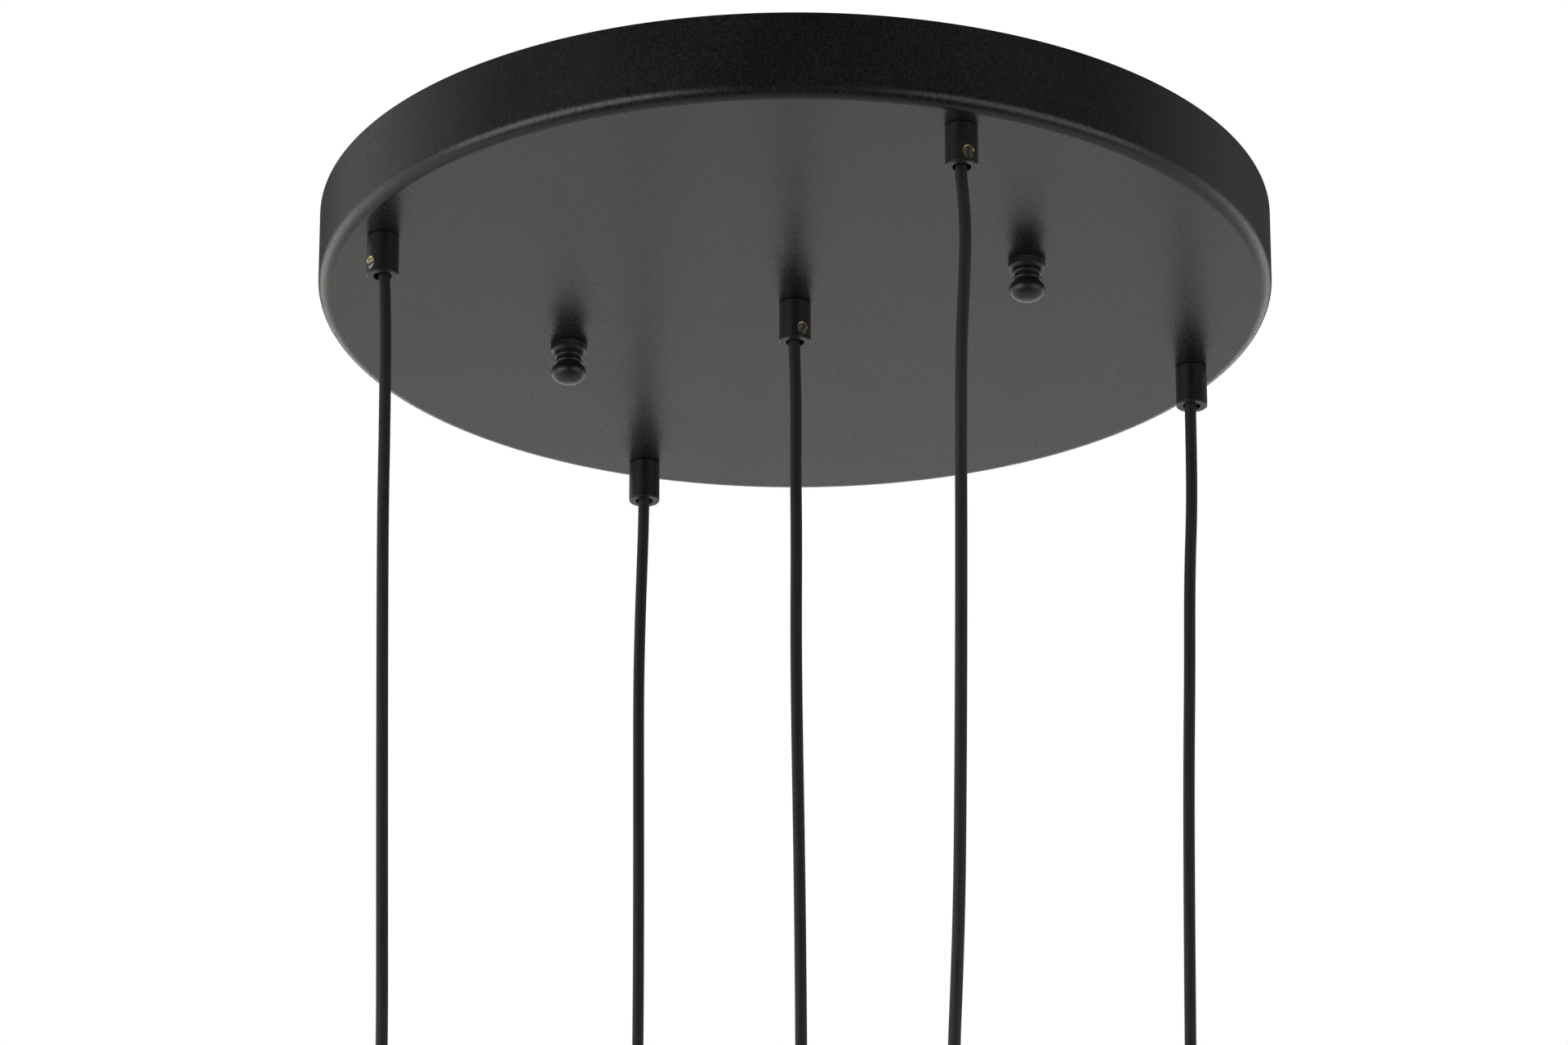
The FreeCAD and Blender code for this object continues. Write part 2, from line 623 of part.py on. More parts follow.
# Splice blocks: one for each kind of core, with a spare entry for the supply
blocks = []
for kind, step in KINDS:
    block = primitive("Box", f"{kind}_block_body", Length="block_width", Width="block_length",
                      Height="block_height")
    place(block, "-block_width / 2", "0", "-block_height / 2")
    entries = []
    for number in range(entry_count):
        entry = primitive("Cylinder", f"{kind}_entry_{number}", Radius="entry_radius",
                          Height="2 * entry_depth")
        entries.append(place(entry, f"{number - (entry_count - 1) / 2} * entry_pitch", "-entry_depth",
                             rotation=turned(-90, V(1, 0, 0))))
    block_cut = cut(f"{kind}_block", block, fuse(f"{kind}_entries", entries))
    blocks.append(place(block_cut, f"{step} * block_spacing", "block_front",
                        f"row_lift - canopy_depth + {step} * level_step"))
keep(group("wire_connectors", blocks), "wire_connectors")

# Hanging cords: points across and down from the pivot, ending straight down in the gland.
# They are shares of the height from the pivot to the cord's lower end.
CORD_SHARES = {
    1: [(0, 0.0622), (-0.001, 0.1451), (-0.0062, 0.2383), (-0.0088, 0.3627), (-0.013, 0.4922),
        (-0.0158, 0.6347), (-0.0181, 0.7902), (-0.0197, 0.9119)],
    2: [(0, 0.0393), (-0.002, 0.1124), (-0.0042, 0.191), (-0.0056, 0.2921), (-0.0045, 0.4213),
        (-0.0031, 0.5758), (-0.0022, 0.736), (-0.0025, 0.9045)],
    3: [(0.0022, 0.0385), (0.0041, 0.1058), (0.005, 0.1923), (0.0053, 0.2837), (0.007, 0.3846),
        (0.0096, 0.5096), (0.0127, 0.649), (0.0159, 0.7812), (0.0187, 0.9038)],
    4: [(0, 0.0157), (0.0029, 0.0448), (0.0045, 0.0852), (0.002, 0.139), (-0.0016, 0.2018),
        (-0.0029, 0.2915), (-0.0036, 0.4036), (-0.0052, 0.5381), (-0.0072, 0.6726), (-0.0094, 0.7848),
        (-0.0135, 0.8789), (-0.017, 0.9462)],
    5: [(0.0008, 0.0252), (0.0021, 0.0714), (0.0017, 0.1345), (0.0025, 0.2185), (0.0019, 0.3193),
        (0.0029, 0.4202), (0.0048, 0.5252), (0.0063, 0.6429), (0.0071, 0.7689), (0.0074, 0.9034)],
}


def cord_fall(n):
    """Height from the pivot of cord n to its end in the gland."""
    return pivot_level - face + mm(f"drop_{n}") + mm("cord_in_gland")


def holder_top(n):
    """Top of the gland of lampholder n."""
    foot = cord_foot(n)
    return V(foot.x + CORD_SHARES[n][-1][0] * cord_fall(n), foot.y, face - mm(f"drop_{n}"))


for n in GRIPS:
    foot, top = cord_foot(n), holder_top(n)
    route = [foot - V(0, 0, mm("pivot_gap"))]
    route += [foot + V(across, 0, -down) * cord_fall(n) for across, down in CORD_SHARES[n]]
    route.append(top - V(0, 0, mm("cord_in_gland")))
    keep(made(f"cord_{n}", tube(f"cord {n}", route, mm("cord_radius"))), f"cord_{n}")

# Lampholders: every piece is drawn up from its lowest point, then hung on its cord
cap_level = "gland_length"
cup_level = "(gland_length + cap_round + cup_top_gap + cup_length)"
core_level = "(gland_length + cap_round + cup_top_gap + cup_length - core_recess)"
core_length = "(cup_length - core_recess - core_top_gap)"
for n in GRIPS:
    top = holder_top(n)

    def hang(thing, depth):
        """Hangs a piece whose own zero lies at a depth below the gland's top."""
        return place(thing, str(top.x), str(top.y), f"{top.z} - ({depth})")

    gland = new_body(f"cord_gland_{n}")
    revolve(gland, [
        ("gland_core_bore", "0"), ("stem_radius", "0"), ("stem_radius", "gland_stem_length"),
        ("gland_radius - gland_edge", "gland_stem_length"),
        ("gland_radius", "gland_stem_length + gland_edge"),
        ("gland_radius", "gland_stem_length + gland_length - gland_edge"),
        ("gland_radius - gland_edge", "gland_stem_length + gland_length"),
        ("cord_radius + gland_bore_clearance", "gland_stem_length + gland_length"),
        ("cord_radius + gland_bore_clearance", "gland_stem_length + gland_length - cord_in_gland"),
        ("gland_core_bore", "gland_stem_length + gland_length - cord_in_gland")])
    keep(hang(gland, "(gland_length + gland_stem_length)"), f"cord_gland_{n}")

    cap = new_body(f"holder_cap_{n}")
    cap_radius = "(cup_radius + thread_clearance + cap_wall)"
    cap_turned = revolve(cap, [
        ("cup_radius + thread_clearance", "0"), (cap_radius, "0"), (cap_radius, "cap_height"),
        ("stem_radius + thread_clearance", "cap_height"),
        ("stem_radius + thread_clearance", "cap_height - cap_wall"),
        ("cup_radius + thread_clearance", "cap_height - cap_wall")])
    doc.recompute()
    skin = mm("cup_radius") + mm("thread_clearance")
    cap_outer = round_edges(cap, "outer_round", cap_turned,
                            circle_edges(cap_turned, skin + mm("cap_wall"), mm("cap_height")), "cap_round")
    doc.recompute()
    round_edges(cap, "inner_round", cap_outer,
                circle_edges(cap_outer, skin, mm("cap_height") - mm("cap_wall")), "cap_round - cap_wall")
    keep(hang(cap, "(gland_length + cap_height)"), f"holder_cap_{n}")

    cup = new_body(f"holder_cup_{n}")
    revolve(cup, [("cup_radius - cup_wall", "0"), ("cup_radius", "0"), ("cup_radius", "cup_length"),
                  ("cup_radius - cup_wall", "cup_length")])
    keep(hang(cup, cup_level), f"holder_cup_{n}")

    insulator = new_body(f"holder_core_{n}")
    core_skin = "(cup_radius - cup_wall - core_clearance)"
    cavity = "(socket_radius + shell_wall + core_clearance)"
    revolve(insulator, [
        (cavity, "0"), (core_skin, "0"), (core_skin, core_length), ("0", core_length),
        ("0", "socket_depth"), (cavity, "socket_depth")])
    keep(hang(insulator, core_level), f"holder_core_{n}")

    shell = new_body(f"screw_shell_{n}")
    revolve(shell, [
        ("socket_radius", "0"), ("socket_radius + shell_wall", "0"),
        ("socket_radius + shell_wall", "shell_length - shell_shoulder_height"),
        ("shell_flat_radius", "shell_length"), ("shell_seat_radius", "shell_length"),
        ("shell_seat_radius", "shell_length - shell_wall"),
        ("shell_flat_radius - shell_wall", "shell_length - shell_wall"),
        ("socket_radius", "shell_length - shell_shoulder_height")])
    keep(hang(shell, core_level + " + shell_length - socket_depth"), f"screw_shell_{n}")

    # Centre contact: a strip riveted flat on the insulator, its free end bent down towards the lamp
    seat = primitive("Box", f"contact_{n}_seat", Length="contact_seat_length", Width="contact_width",
                     Height="contact_thickness")
    place(seat, "-contact_seat_length", "-contact_width / 2", "-contact_thickness")
    tongue = primitive("Box", f"contact_{n}_tongue", Length="contact_tongue_length", Width="contact_width",
                       Height="contact_thickness")
    place(tongue, "-2 * contact_thickness", "-contact_width / 2", "-contact_thickness",
          turned(mm("contact_rise"), V(0, 1, 0)))
    rivet = primitive("Cylinder", f"contact_{n}_rivet", Radius="contact_width / 4",
                      Height="2 * contact_thickness")
    place(rivet, "-contact_seat_length / 2", z="-2 * contact_thickness")
    contact = fuse(f"centre_contact_{n}", [seat, tongue, rivet])
    keep(hang(contact, core_level + " - socket_depth"), f"centre_contact_{n}")

    ring = new_body(f"shade_ring_{n}")
    ring_bore = "(cup_radius + ring_clearance)"
    revolve(ring, [
        (ring_bore, "0"), (ring_bore + " + ring_wall", "0"),
        (ring_bore + " + ring_wall", "ring_height - ring_flange_thickness"),
        ("ring_flange_radius", "ring_height - ring_flange_thickness"), ("ring_flange_radius", "ring_height"),
        (ring_bore, "ring_height")])
    keep(hang(ring, cup_level + " - ring_above_rim"), f"shade_ring_{n}")

doc.recompute()
for thing in doc.Objects:
    if "Invalid" in thing.State or "Error" in thing.State:
        raise RuntimeError(f"{thing.Label} failed: {thing.State}")
os.makedirs("parts", exist_ok=True)
for thing in parts:
    shape = thing.Shape
    if shape.isNull() or not shape.isValid() or not shape.Solids:
        raise RuntimeError(f"{thing.Label} has no valid solid")
    shape.exportStep(f"parts/{thing.Label}.step")
print(len(parts), "pieces written")
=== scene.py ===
import json
import math

import bmesh
import bpy
from mathutils import Matrix, Vector


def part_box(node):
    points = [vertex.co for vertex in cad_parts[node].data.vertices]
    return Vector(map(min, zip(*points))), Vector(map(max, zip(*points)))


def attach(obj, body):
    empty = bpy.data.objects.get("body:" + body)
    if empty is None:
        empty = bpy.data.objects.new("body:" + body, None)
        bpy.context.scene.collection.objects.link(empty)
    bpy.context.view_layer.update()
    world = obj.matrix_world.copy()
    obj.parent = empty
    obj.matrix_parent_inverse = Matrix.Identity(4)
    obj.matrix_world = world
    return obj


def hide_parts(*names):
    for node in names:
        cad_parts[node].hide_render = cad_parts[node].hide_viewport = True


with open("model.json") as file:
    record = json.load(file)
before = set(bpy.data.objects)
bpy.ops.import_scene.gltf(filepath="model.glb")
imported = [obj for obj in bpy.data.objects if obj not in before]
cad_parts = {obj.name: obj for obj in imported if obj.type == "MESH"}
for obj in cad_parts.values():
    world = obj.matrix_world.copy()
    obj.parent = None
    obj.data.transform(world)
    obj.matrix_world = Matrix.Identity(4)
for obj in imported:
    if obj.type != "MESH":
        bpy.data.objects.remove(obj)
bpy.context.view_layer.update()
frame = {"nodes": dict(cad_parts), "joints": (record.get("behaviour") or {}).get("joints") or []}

# Camera. It stands below the canopy at the front right and looks up at it through a long lens, without roll.
# The canopy sits high in the picture, and the cords run out of it at the bottom.
mm = 0.001
canopy_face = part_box("canopy_pan")[0].z
view_azimuth, view_elevation = math.radians(23.7), math.radians(-22.9)
camera_distance = 3.4984
aim_right, aim_up = -0.0052, -0.1032
look = Vector((-math.sin(view_azimuth) * math.cos(view_elevation),
               math.cos(view_azimuth) * math.cos(view_elevation), -math.sin(view_elevation)))
right = look.cross(Vector((0, 0, 1))).normalized()
aim = Vector((0, 0, canopy_face)) + right * aim_right + right.cross(look) * aim_up
camera = bpy.data.objects.new("camera", bpy.data.cameras.new("camera"))
bpy.context.scene.collection.objects.link(camera)
camera.data.sensor_width = 36
camera.data.lens = 170
camera.location = aim - look * camera_distance
camera.rotation_mode = "QUATERNION"
camera.rotation_quaternion = look.to_track_quat("-Z", "Y")
bpy.context.scene.camera = camera
bpy.context.scene.view_settings.view_transform = "Standard"


# Canopy pan. A round tray spun from sheet steel, open towards the ceiling, with a rolled lower edge.
# It has a matt black powder coat with a fine grain, and round holes for five grips and two studs.
class Field:
    """One output of a shader node. Sums and products of fields add Math nodes."""

    def __init__(self, tree, socket=None):
        self.tree, self.socket = tree, socket

    def add(self, kind, settings=None, sockets=None, output=0):
        """Adds a node from its type, its settings, and the values or links of its sockets."""
        node = self.tree.nodes.new("ShaderNode" + kind)
        for name, value in (settings or {}).items():
            setattr(node, name, value)
        for name, value in (sockets or {}).items():
            self.feed(node.inputs[name], value)
        return Field(self.tree, node.outputs[output])

    def feed(self, target, value):
        if isinstance(value, Field):
            self.tree.links.new(value.socket, target)
        else:
            target.default_value = value

    def maths(self, operation, first, second):
        return self.add("Math", {"operation": operation}, {0: first, 1: second})

    def __add__(self, other):
        return self.maths("ADD", self, other)

    def __sub__(self, other):
        return self.maths("SUBTRACT", self, other)

    def __rsub__(self, other):
        return self.maths("SUBTRACT", other, self)

    def __mul__(self, other):
        return self.maths("MULTIPLY", self, other)

    __radd__, __rmul__ = __add__, __mul__

    def between(self, low, high):
        """Rises smoothly from 0 at low to 1 at high."""
        return self.add("MapRange", {"interpolation_type": "SMOOTHSTEP"},
                        {"Value": self, "From Min": low, "From Max": high})

    def stretched(self, across, along, up):
        return self.add("Mapping", None, {"Vector": self, "Scale": (across, along, up)})

    def noise(self, size, detail=2.0):
        """Soft noise whose lumps are about so many millimetres across."""
        return self.add("TexNoise", None, {"Vector": self, "Scale": 1 / (size * mm), "Detail": detail})

    def mixed(self, dark, light):
        """A colour that runs from dark to light as the field runs from 0 to 1."""
        factor, first, second, result = 0, 6, 7, 2
        ends = [end if isinstance(end, Field) else (*end, 1) for end in (dark, light)]
        return self.add("Mix", {"data_type": "RGBA"}, {factor: self, first: ends[0], second: ends[1]}, result)

    def bump(self, height, depth):
        """A surface normal roughened by a height, its depth in millimetres."""
        return self.add("Bump", None, {"Height": height, "Distance": depth * mm})


def new_finish(name, **constants):
    """A new material, its Principled shader with constant sockets set, and its object coordinates."""
    made = bpy.data.materials.new(name)
    made.use_nodes = True
    shader = made.node_tree.nodes["Principled BSDF"]
    for socket, value in constants.items():
        shader.inputs[socket.replace("_", " ").title().replace("Ior", "IOR")].default_value = value
    return made, shader, Field(made.node_tree).add("TexCoord", output="Object")


def surface(name, dark, light, grain, roughness, relief, stretch=(1, 1, 1), cloud=30.0, **constants):
    """A finish whose tone, gloss and relief follow one grain, in millimetres, and a broad cloud."""
    made, shader, place = new_finish(name, **constants)
    fine = place.stretched(*stretch).noise(grain)
    broad = place.noise(cloud)
    tone = (0.65 * fine + 0.35 * broad).between(0.25, 0.75)
    gloss = (0.8 * fine + 0.2 * broad).between(0.3, 0.7)
    place.feed(shader.inputs["Base Color"], tone.mixed(dark, light))
    place.feed(shader.inputs["Roughness"], roughness[0] + (roughness[1] - roughness[0]) * gloss)
    place.feed(shader.inputs["Normal"], place.bump(fine, relief))
    return made


def parts(shape):
    """Every point, edge and face of a shape."""
    return shape.verts[:] + shape.edges[:] + shape.faces[:]


def tidied(shape):
    """Merges doubled points and turns every face outwards."""
    bmesh.ops.remove_doubles(shape, verts=shape.verts[:], dist=1e-4)
    bmesh.ops.recalc_face_normals(shape, faces=shape.faces[:])
    return shape


def lathe(corners, steps=96, segments=4, closed=False):
    """Turns an outline about the Z axis. A corner is its radius, its height and, where soft, its rounding."""
    shape = bmesh.new()
    points = [shape.verts.new((corner[0], 0, corner[1])) for corner in corners]
    runs = list(zip(points, points[1:]))
    if closed:
        runs.append((points[-1], points[0]))
    for pair in runs:
        shape.edges.new(pair)
    for point, corner in zip(points, corners):
        if len(corner) > 2:
            bmesh.ops.bevel(shape, geom=[point], offset=corner[2], segments=segments, profile=0.5,
                            affect="VERTICES", material=-1)
    bmesh.ops.spin(shape, geom=parts(shape), cent=(0, 0, 0), axis=(0, 0, 1),
                   angle=math.tau, steps=steps, use_merge=True)
    return tidied(shape)


def moved(shape, x=0.0, y=0.0, z=0.0):
    bmesh.ops.translate(shape, verts=shape.verts[:], vec=(x, y, z))
    return shape


def rod(radius, low, high, steps=48):
    """A round bar along Z."""
    shape = bmesh.new()
    bmesh.ops.create_cone(shape, cap_ends=True, segments=steps, radius1=radius, radius2=radius,
                          depth=high - low)
    return moved(shape, z=(low + high) / 2)


def joined(shapes):
    """Several shapes as one."""
    whole = bmesh.new()
    for shape in shapes:
        mesh = bpy.data.meshes.new("shape")
        shape.to_mesh(mesh)
        shape.free()
        whole.from_mesh(mesh)
        bpy.data.meshes.remove(mesh)
    return whole


def plain(shape, name):
    """Puts a shape into a new object as it is."""
    mesh = bpy.data.meshes.new(name)
    shape.to_mesh(mesh)
    shape.free()
    made = bpy.data.objects.new(name, mesh)
    bpy.context.scene.collection.objects.link(made)
    return made


def carved(shape, tool, operation="DIFFERENCE"):
    """Cuts a closed shape out of another, or keeps only what lies in both."""
    blank, cutter = plain(shape, "blank"), plain(tool, "cutter")
    cut = blank.modifiers.new("cut", "BOOLEAN")
    cut.object, cut.operation, cut.solver = cutter, operation, "EXACT"
    finished = blank.evaluated_get(bpy.context.evaluated_depsgraph_get())
    result = bmesh.new()
    result.from_mesh(bpy.data.meshes.new_from_object(finished))
    for old in (blank, cutter):
        bpy.data.objects.remove(old)
    return result


def piece(name, shape, finish, place, body, slot, *nodes, soften=0.0, sharp=32.0):
    """Turns a shape drawn in millimetres about its own zero into a piece at its place, riding on its body."""
    bmesh.ops.scale(shape, verts=shape.verts[:], vec=(mm, mm, mm))
    for face in shape.faces:
        face.smooth = True
    made = plain(moved(shape, *place), name)
    made.data.set_sharp_from_angle(angle=math.radians(sharp))
    for layer in finish if isinstance(finish, list) else [finish]:
        made.data.materials.append(layer)
    if soften:
        edges = made.modifiers.new("soft_edges", "BEVEL")
        edges.width, edges.segments, edges.limit_method = soften * mm, 2, "ANGLE"
        edges.angle_limit = math.radians(40)
    flat = made.modifiers.new("flat_faces", "WEIGHTED_NORMAL")
    flat.keep_sharp = True
    if nodes:
        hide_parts(*nodes)
    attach(made, body)
    return made


def axis_of(node):
    """The point on a round node's axis at the height of its lowest point."""
    low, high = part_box(node)
    return Vector(((low.x + high.x) / 2, (low.y + high.y) / 2, low.z))


def drill(node, radius):
    """A bit that bores through the tray's face on a round node's axis."""
    return moved(rod(radius, drill_low, drill_high), *(axis_of(node) / mm).xy)


pan_radius, pan_depth, pan_wall, pan_round, pan_rim = 225.0, 40.5, 1.2, 6.0, 0.3
grip_hole, stud_hole, drill_low, drill_high = 5.0, 2.3, -45.0, -35.0
powder_coat = surface("powder_coat", (0.0045, 0.0041, 0.0037), (0.0135, 0.0124, 0.0112), grain=1.3,
                      roughness=(0.2, 0.43), relief=0.055, cloud=45.0)
pan_inside, pan_floor = pan_radius - pan_wall, pan_wall - pan_depth
pan = lathe([(0, -pan_depth), (pan_radius, -pan_depth, pan_round), (pan_radius, 0, pan_rim),
             (pan_inside, 0, pan_rim), (pan_inside, pan_floor, pan_round - pan_wall), (0, pan_floor)],
            steps=360, segments=10)
drills = [drill(f"cord_grip_{n}", grip_hole) for n in range(1, 6)]
drills += [drill(f"ball_nut_{side}", stud_hole) for side in ("left", "right")]
piece("canopy_tray", carved(pan, joined(drills)), powder_coat, (0, 0, 0), "canopy", "black_powder_coat",
      "canopy_pan")

# Crossbar. A flat strap punched from zinc plated steel, screwed to the ceiling box through two slots.
# Tapped holes near its ends carry the studs, and a third one the earth screw.
bar_length, bar_width, bar_thickness, bar_corner, bar_edge = 256.0, 25.0, 2.5, 4.0, 0.25
slot_middle, slot_half, slot_radius, punch_reach = 44.45, 5.5, 2.5, 3.0
stud_offset, earth_offset, tapped_radius = 118.0, 75.0, 2.05


def block(size, rounding=0.0):
    """A box about its middle, its edges rounded."""
    shape = bmesh.new()
    bmesh.ops.create_cube(shape, size=1, matrix=Matrix.Diagonal((*size, 1)))
    if rounding:
        bmesh.ops.bevel(shape, geom=shape.edges[:], offset=rounding, segments=3, profile=0.5,
                        affect="EDGES", material=-1)
    return shape


def zinc_plate():
    """Bright zinc over rolled steel, with fine lines along the strap and a cloudy bloom."""
    made, shader, place = new_finish("zinc_plate", metallic=1.0)
    grain = place.stretched(0.05, 1, 1).noise(0.5, 3.0)
    bloom = place.noise(9.0, 3.0).between(0.35, 0.65)
    place.feed(shader.inputs["Base Color"], bloom.mixed((0.56, 0.575, 0.59), (0.67, 0.67, 0.65)))
    place.feed(shader.inputs["Roughness"], 0.24 + 0.14 * grain + 0.08 * bloom)
    place.feed(shader.inputs["Normal"], place.bump(grain, 0.02))
    return made


zinc = zinc_plate()
strap = block((bar_length, bar_width, bar_thickness))
upright = [edge for edge in strap.edges if edge.verts[0].co.xy == edge.verts[1].co.xy]
bmesh.ops.bevel(strap, geom=upright, offset=bar_corner, segments=8, profile=0.5, affect="EDGES", material=-1)
punches = [moved(rod(tapped_radius, -punch_reach, punch_reach), place)
           for place in (-stud_offset, stud_offset, earth_offset)]
for side in (-1, 1):
    punch = rod(slot_radius, -punch_reach, punch_reach)
    for point in punch.verts:
        point.co.x += math.copysign(slot_half, point.co.x)
    punches.append(moved(punch, side * slot_middle))
piece("crossbar_strap", carved(strap, joined(punches)), zinc, (0, 0, -bar_thickness / 2 * mm), "canopy",
      "zinc_plate", "crossbar", soften=bar_edge)


# Canopy studs. Two lengths of threaded rod that hang from the crossbar through the tray into the ball nuts,
# each locked by a hex nut below the strap.
def turned(shape, angle, axis="Z"):
    turn = Matrix.Rotation(math.radians(angle), 3, axis)
    bmesh.ops.rotate(shape, verts=shape.verts[:], cent=(0, 0, 0), matrix=turn)
    return shape


def trimmed(shape, level, way):
    """Cuts off what lies above a level, or below it where way is -1."""
    bmesh.ops.bisect_plane(shape, geom=parts(shape), plane_co=(0, 0, level), plane_no=(0, 0, way),
                           clear_outer=True)
    return shape


def threaded(radius, depth, pitch, low, high, steps=32, bore=0.0):
    """A screw thread along Z, its ends closed in to a bore given as a share of the radius."""
    crest = 0.12
    shape = bmesh.new()
    points = []
    for turn in range(-2, int((high - low) / pitch) + 2):
        for share, cut in ((0, 0), (crest, 0), (0.5, depth), (0.5 + crest, depth)):
            points.append(shape.verts.new((radius - cut, 0, low + (turn + share) * pitch)))
    for pair in zip(points, points[1:]):
        shape.edges.new(pair)
    bmesh.ops.spin(shape, geom=parts(shape), cent=(0, 0, 0), axis=(0, 0, 1), dvec=(0, 0, pitch / steps),
                   angle=math.tau, steps=steps, use_merge=False)
    bmesh.ops.remove_doubles(shape, verts=shape.verts[:], dist=1e-4)
    for level, way in ((low, -1), (high, 1)):
        trimmed(shape, level, way)
        rim = [edge for edge in shape.edges if edge.is_boundary
               and all(abs(point.co.z - level) < 1e-3 for point in edge.verts)]
        fresh = bmesh.ops.extrude_edge_only(shape, edges=rim)["geom"]
        bmesh.ops.scale(shape, verts=[item for item in fresh if isinstance(item, bmesh.types.BMVert)],
                        vec=(bore, bore, 1))
    return tidied(shape)


# Two shapes that would share a face miss each other by a hair, so that cuts come out clean.
hair = 0.01


def hex_nut(flats, height, bore, sink=0.35, crown_share=0.475, crown_angle=28, spare=1.0):
    """A hex nut on Z from height 0, its corners turned off above and below, with a countersunk bore."""
    corner, crown = flats / math.sqrt(3), crown_share * flats
    drop = (corner - crown) * math.tan(math.radians(crown_angle))
    rim, mouth = corner + hair, bore + sink + spare
    dome = lathe([(0, 0), (crown, 0), (rim, drop), (rim, height - drop), (crown, height), (0, height)])
    hole = lathe([(0, -spare), (mouth, -spare), (bore, sink), (bore, height - sink), (mouth, height + spare),
                  (0, height + spare)], steps=48)
    return carved(carved(rod(corner, 0, height, steps=6), dome, "INTERSECT"), hole)


stud_radius, stud_thread, stud_pitch, stud_top, stud_foot = 2.0, 0.38, 0.7, -0.3, -52.5
lock_nut_flats, lock_nut_height, lock_nut_turns = 7.0, 3.2, {-1: 12, 1: -20}
studs = [moved(threaded(stud_radius, stud_thread, stud_pitch, stud_foot, stud_top), side * stud_offset)
         for side in (-1, 1)]
piece("threaded_studs", joined(studs), zinc, (0, 0, 0), "canopy", "zinc_plate", "canopy_studs")
locks = [moved(turned(hex_nut(lock_nut_flats, lock_nut_height, tapped_radius), turn), side * stud_offset)
         for side, turn in lock_nut_turns.items()]
piece("stud_nuts", joined(locks), zinc, (0, 0, -(bar_thickness + lock_nut_height) * mm), "canopy",
      "zinc_plate", "stud_lock_nuts")

# Earth screw. A slotted hex screw, dyed green over zinc, which clamps the earth lead's ring under the strap.
# Its thread runs up through the tapped hole.
earth_flats, earth_head, earth_ring, earth_end = 8.0, 3.5, 0.8, 6.4
earth_crown_share, earth_chamfer, earth_slot, earth_slot_turn = 0.46, 0.6, (12, 1.1, 2.6), 35
green_plate = surface("green_plate", (0.03, 0.2, 0.07), (0.06, 0.36, 0.13), grain=1.2, roughness=(0.25, 0.4),
                      relief=0.01, metallic=0.85)
earth_corner = earth_flats / math.sqrt(3)
earth_crown = lathe([(0, 0), (earth_crown_share * earth_flats, 0, 0.2), (earth_corner + hair, earth_chamfer),
                     (earth_corner + hair, earth_head), (0, earth_head)])
head = carved(rod(earth_corner, 0, earth_head, steps=6), earth_crown, "INTERSECT")
head = carved(head, turned(block(earth_slot), earth_slot_turn))
shank = threaded(stud_radius, stud_thread, stud_pitch, earth_head, earth_end)
piece("earth_screw", joined([head, shank]), green_plate,
      (earth_offset * mm, 0, -(bar_thickness + earth_ring + earth_head) * mm), "canopy", "green_screw",
      "ground_screw")

# Ball nuts. Two nuts turned from brass bar and lacquered black, screwed up the studs by hand against the
# tray. Each has a rolled ring of slanted ribs, a smooth bevel, two beads on its neck and an oval ball.
rib_count, rib_radius, rib_slant, rib_start, rib_reach = 60, 0.36, 24.0, 0.12, 3.0
knurl_radius, knurl_height, knurl_root, knurl_taper, knurl_lip = 8.65, 3.0, 0.4, 0.05, 0.25
foot_radius, foot_height, neck_radius = 7.6, 1.6, 5.9
bead_ring, bead_radius, bead_levels, bead_span, bead_gap = 5.75, 1.1, (6.0, 9.1), 84, 0.05
ball_radius, ball_half, ball_middle, nut_length, nut_bore = 8.5, 5.4, 14.3, 19.5, 13.0


def lacquer():
    """Black lacquer over turned metal, with fine tool lines round the axis."""
    made, shader, place = new_finish("turned_black_lacquer")
    grain = place.noise(0.25)
    lines = place.stretched(0.02, 0.02, 1).noise(0.22, 3.0)
    cloud = place.noise(6.0)
    tone = (0.5 * grain + 0.5 * cloud).between(0.3, 0.7)
    place.feed(shader.inputs["Base Color"], tone.mixed((0.0085, 0.0085, 0.009), (0.015, 0.0148, 0.0145)))
    place.feed(shader.inputs["Roughness"], 0.27 + 0.12 * lines + 0.08 * cloud)
    place.feed(shader.inputs["Normal"], place.bump(lines + 0.4 * grain, 0.02))
    return made


def arc(centre, across, up, first, last, count):
    """Corners along an oval arc between two angles."""
    angles = [math.radians(first + (last - first) * i / count) for i in range(count + 1)]
    return [(centre[0] + across * math.cos(angle), centre[1] + up * math.sin(angle)) for angle in angles]


def circled(shape, count):
    """Repeats a shape all round the Z axis."""
    bmesh.ops.spin(shape, geom=parts(shape), cent=(0, 0, 0), axis=(0, 0, 1),
                   angle=math.tau * (count - 1) / count, steps=count - 1, use_duplicate=True)
    return tidied(shape)


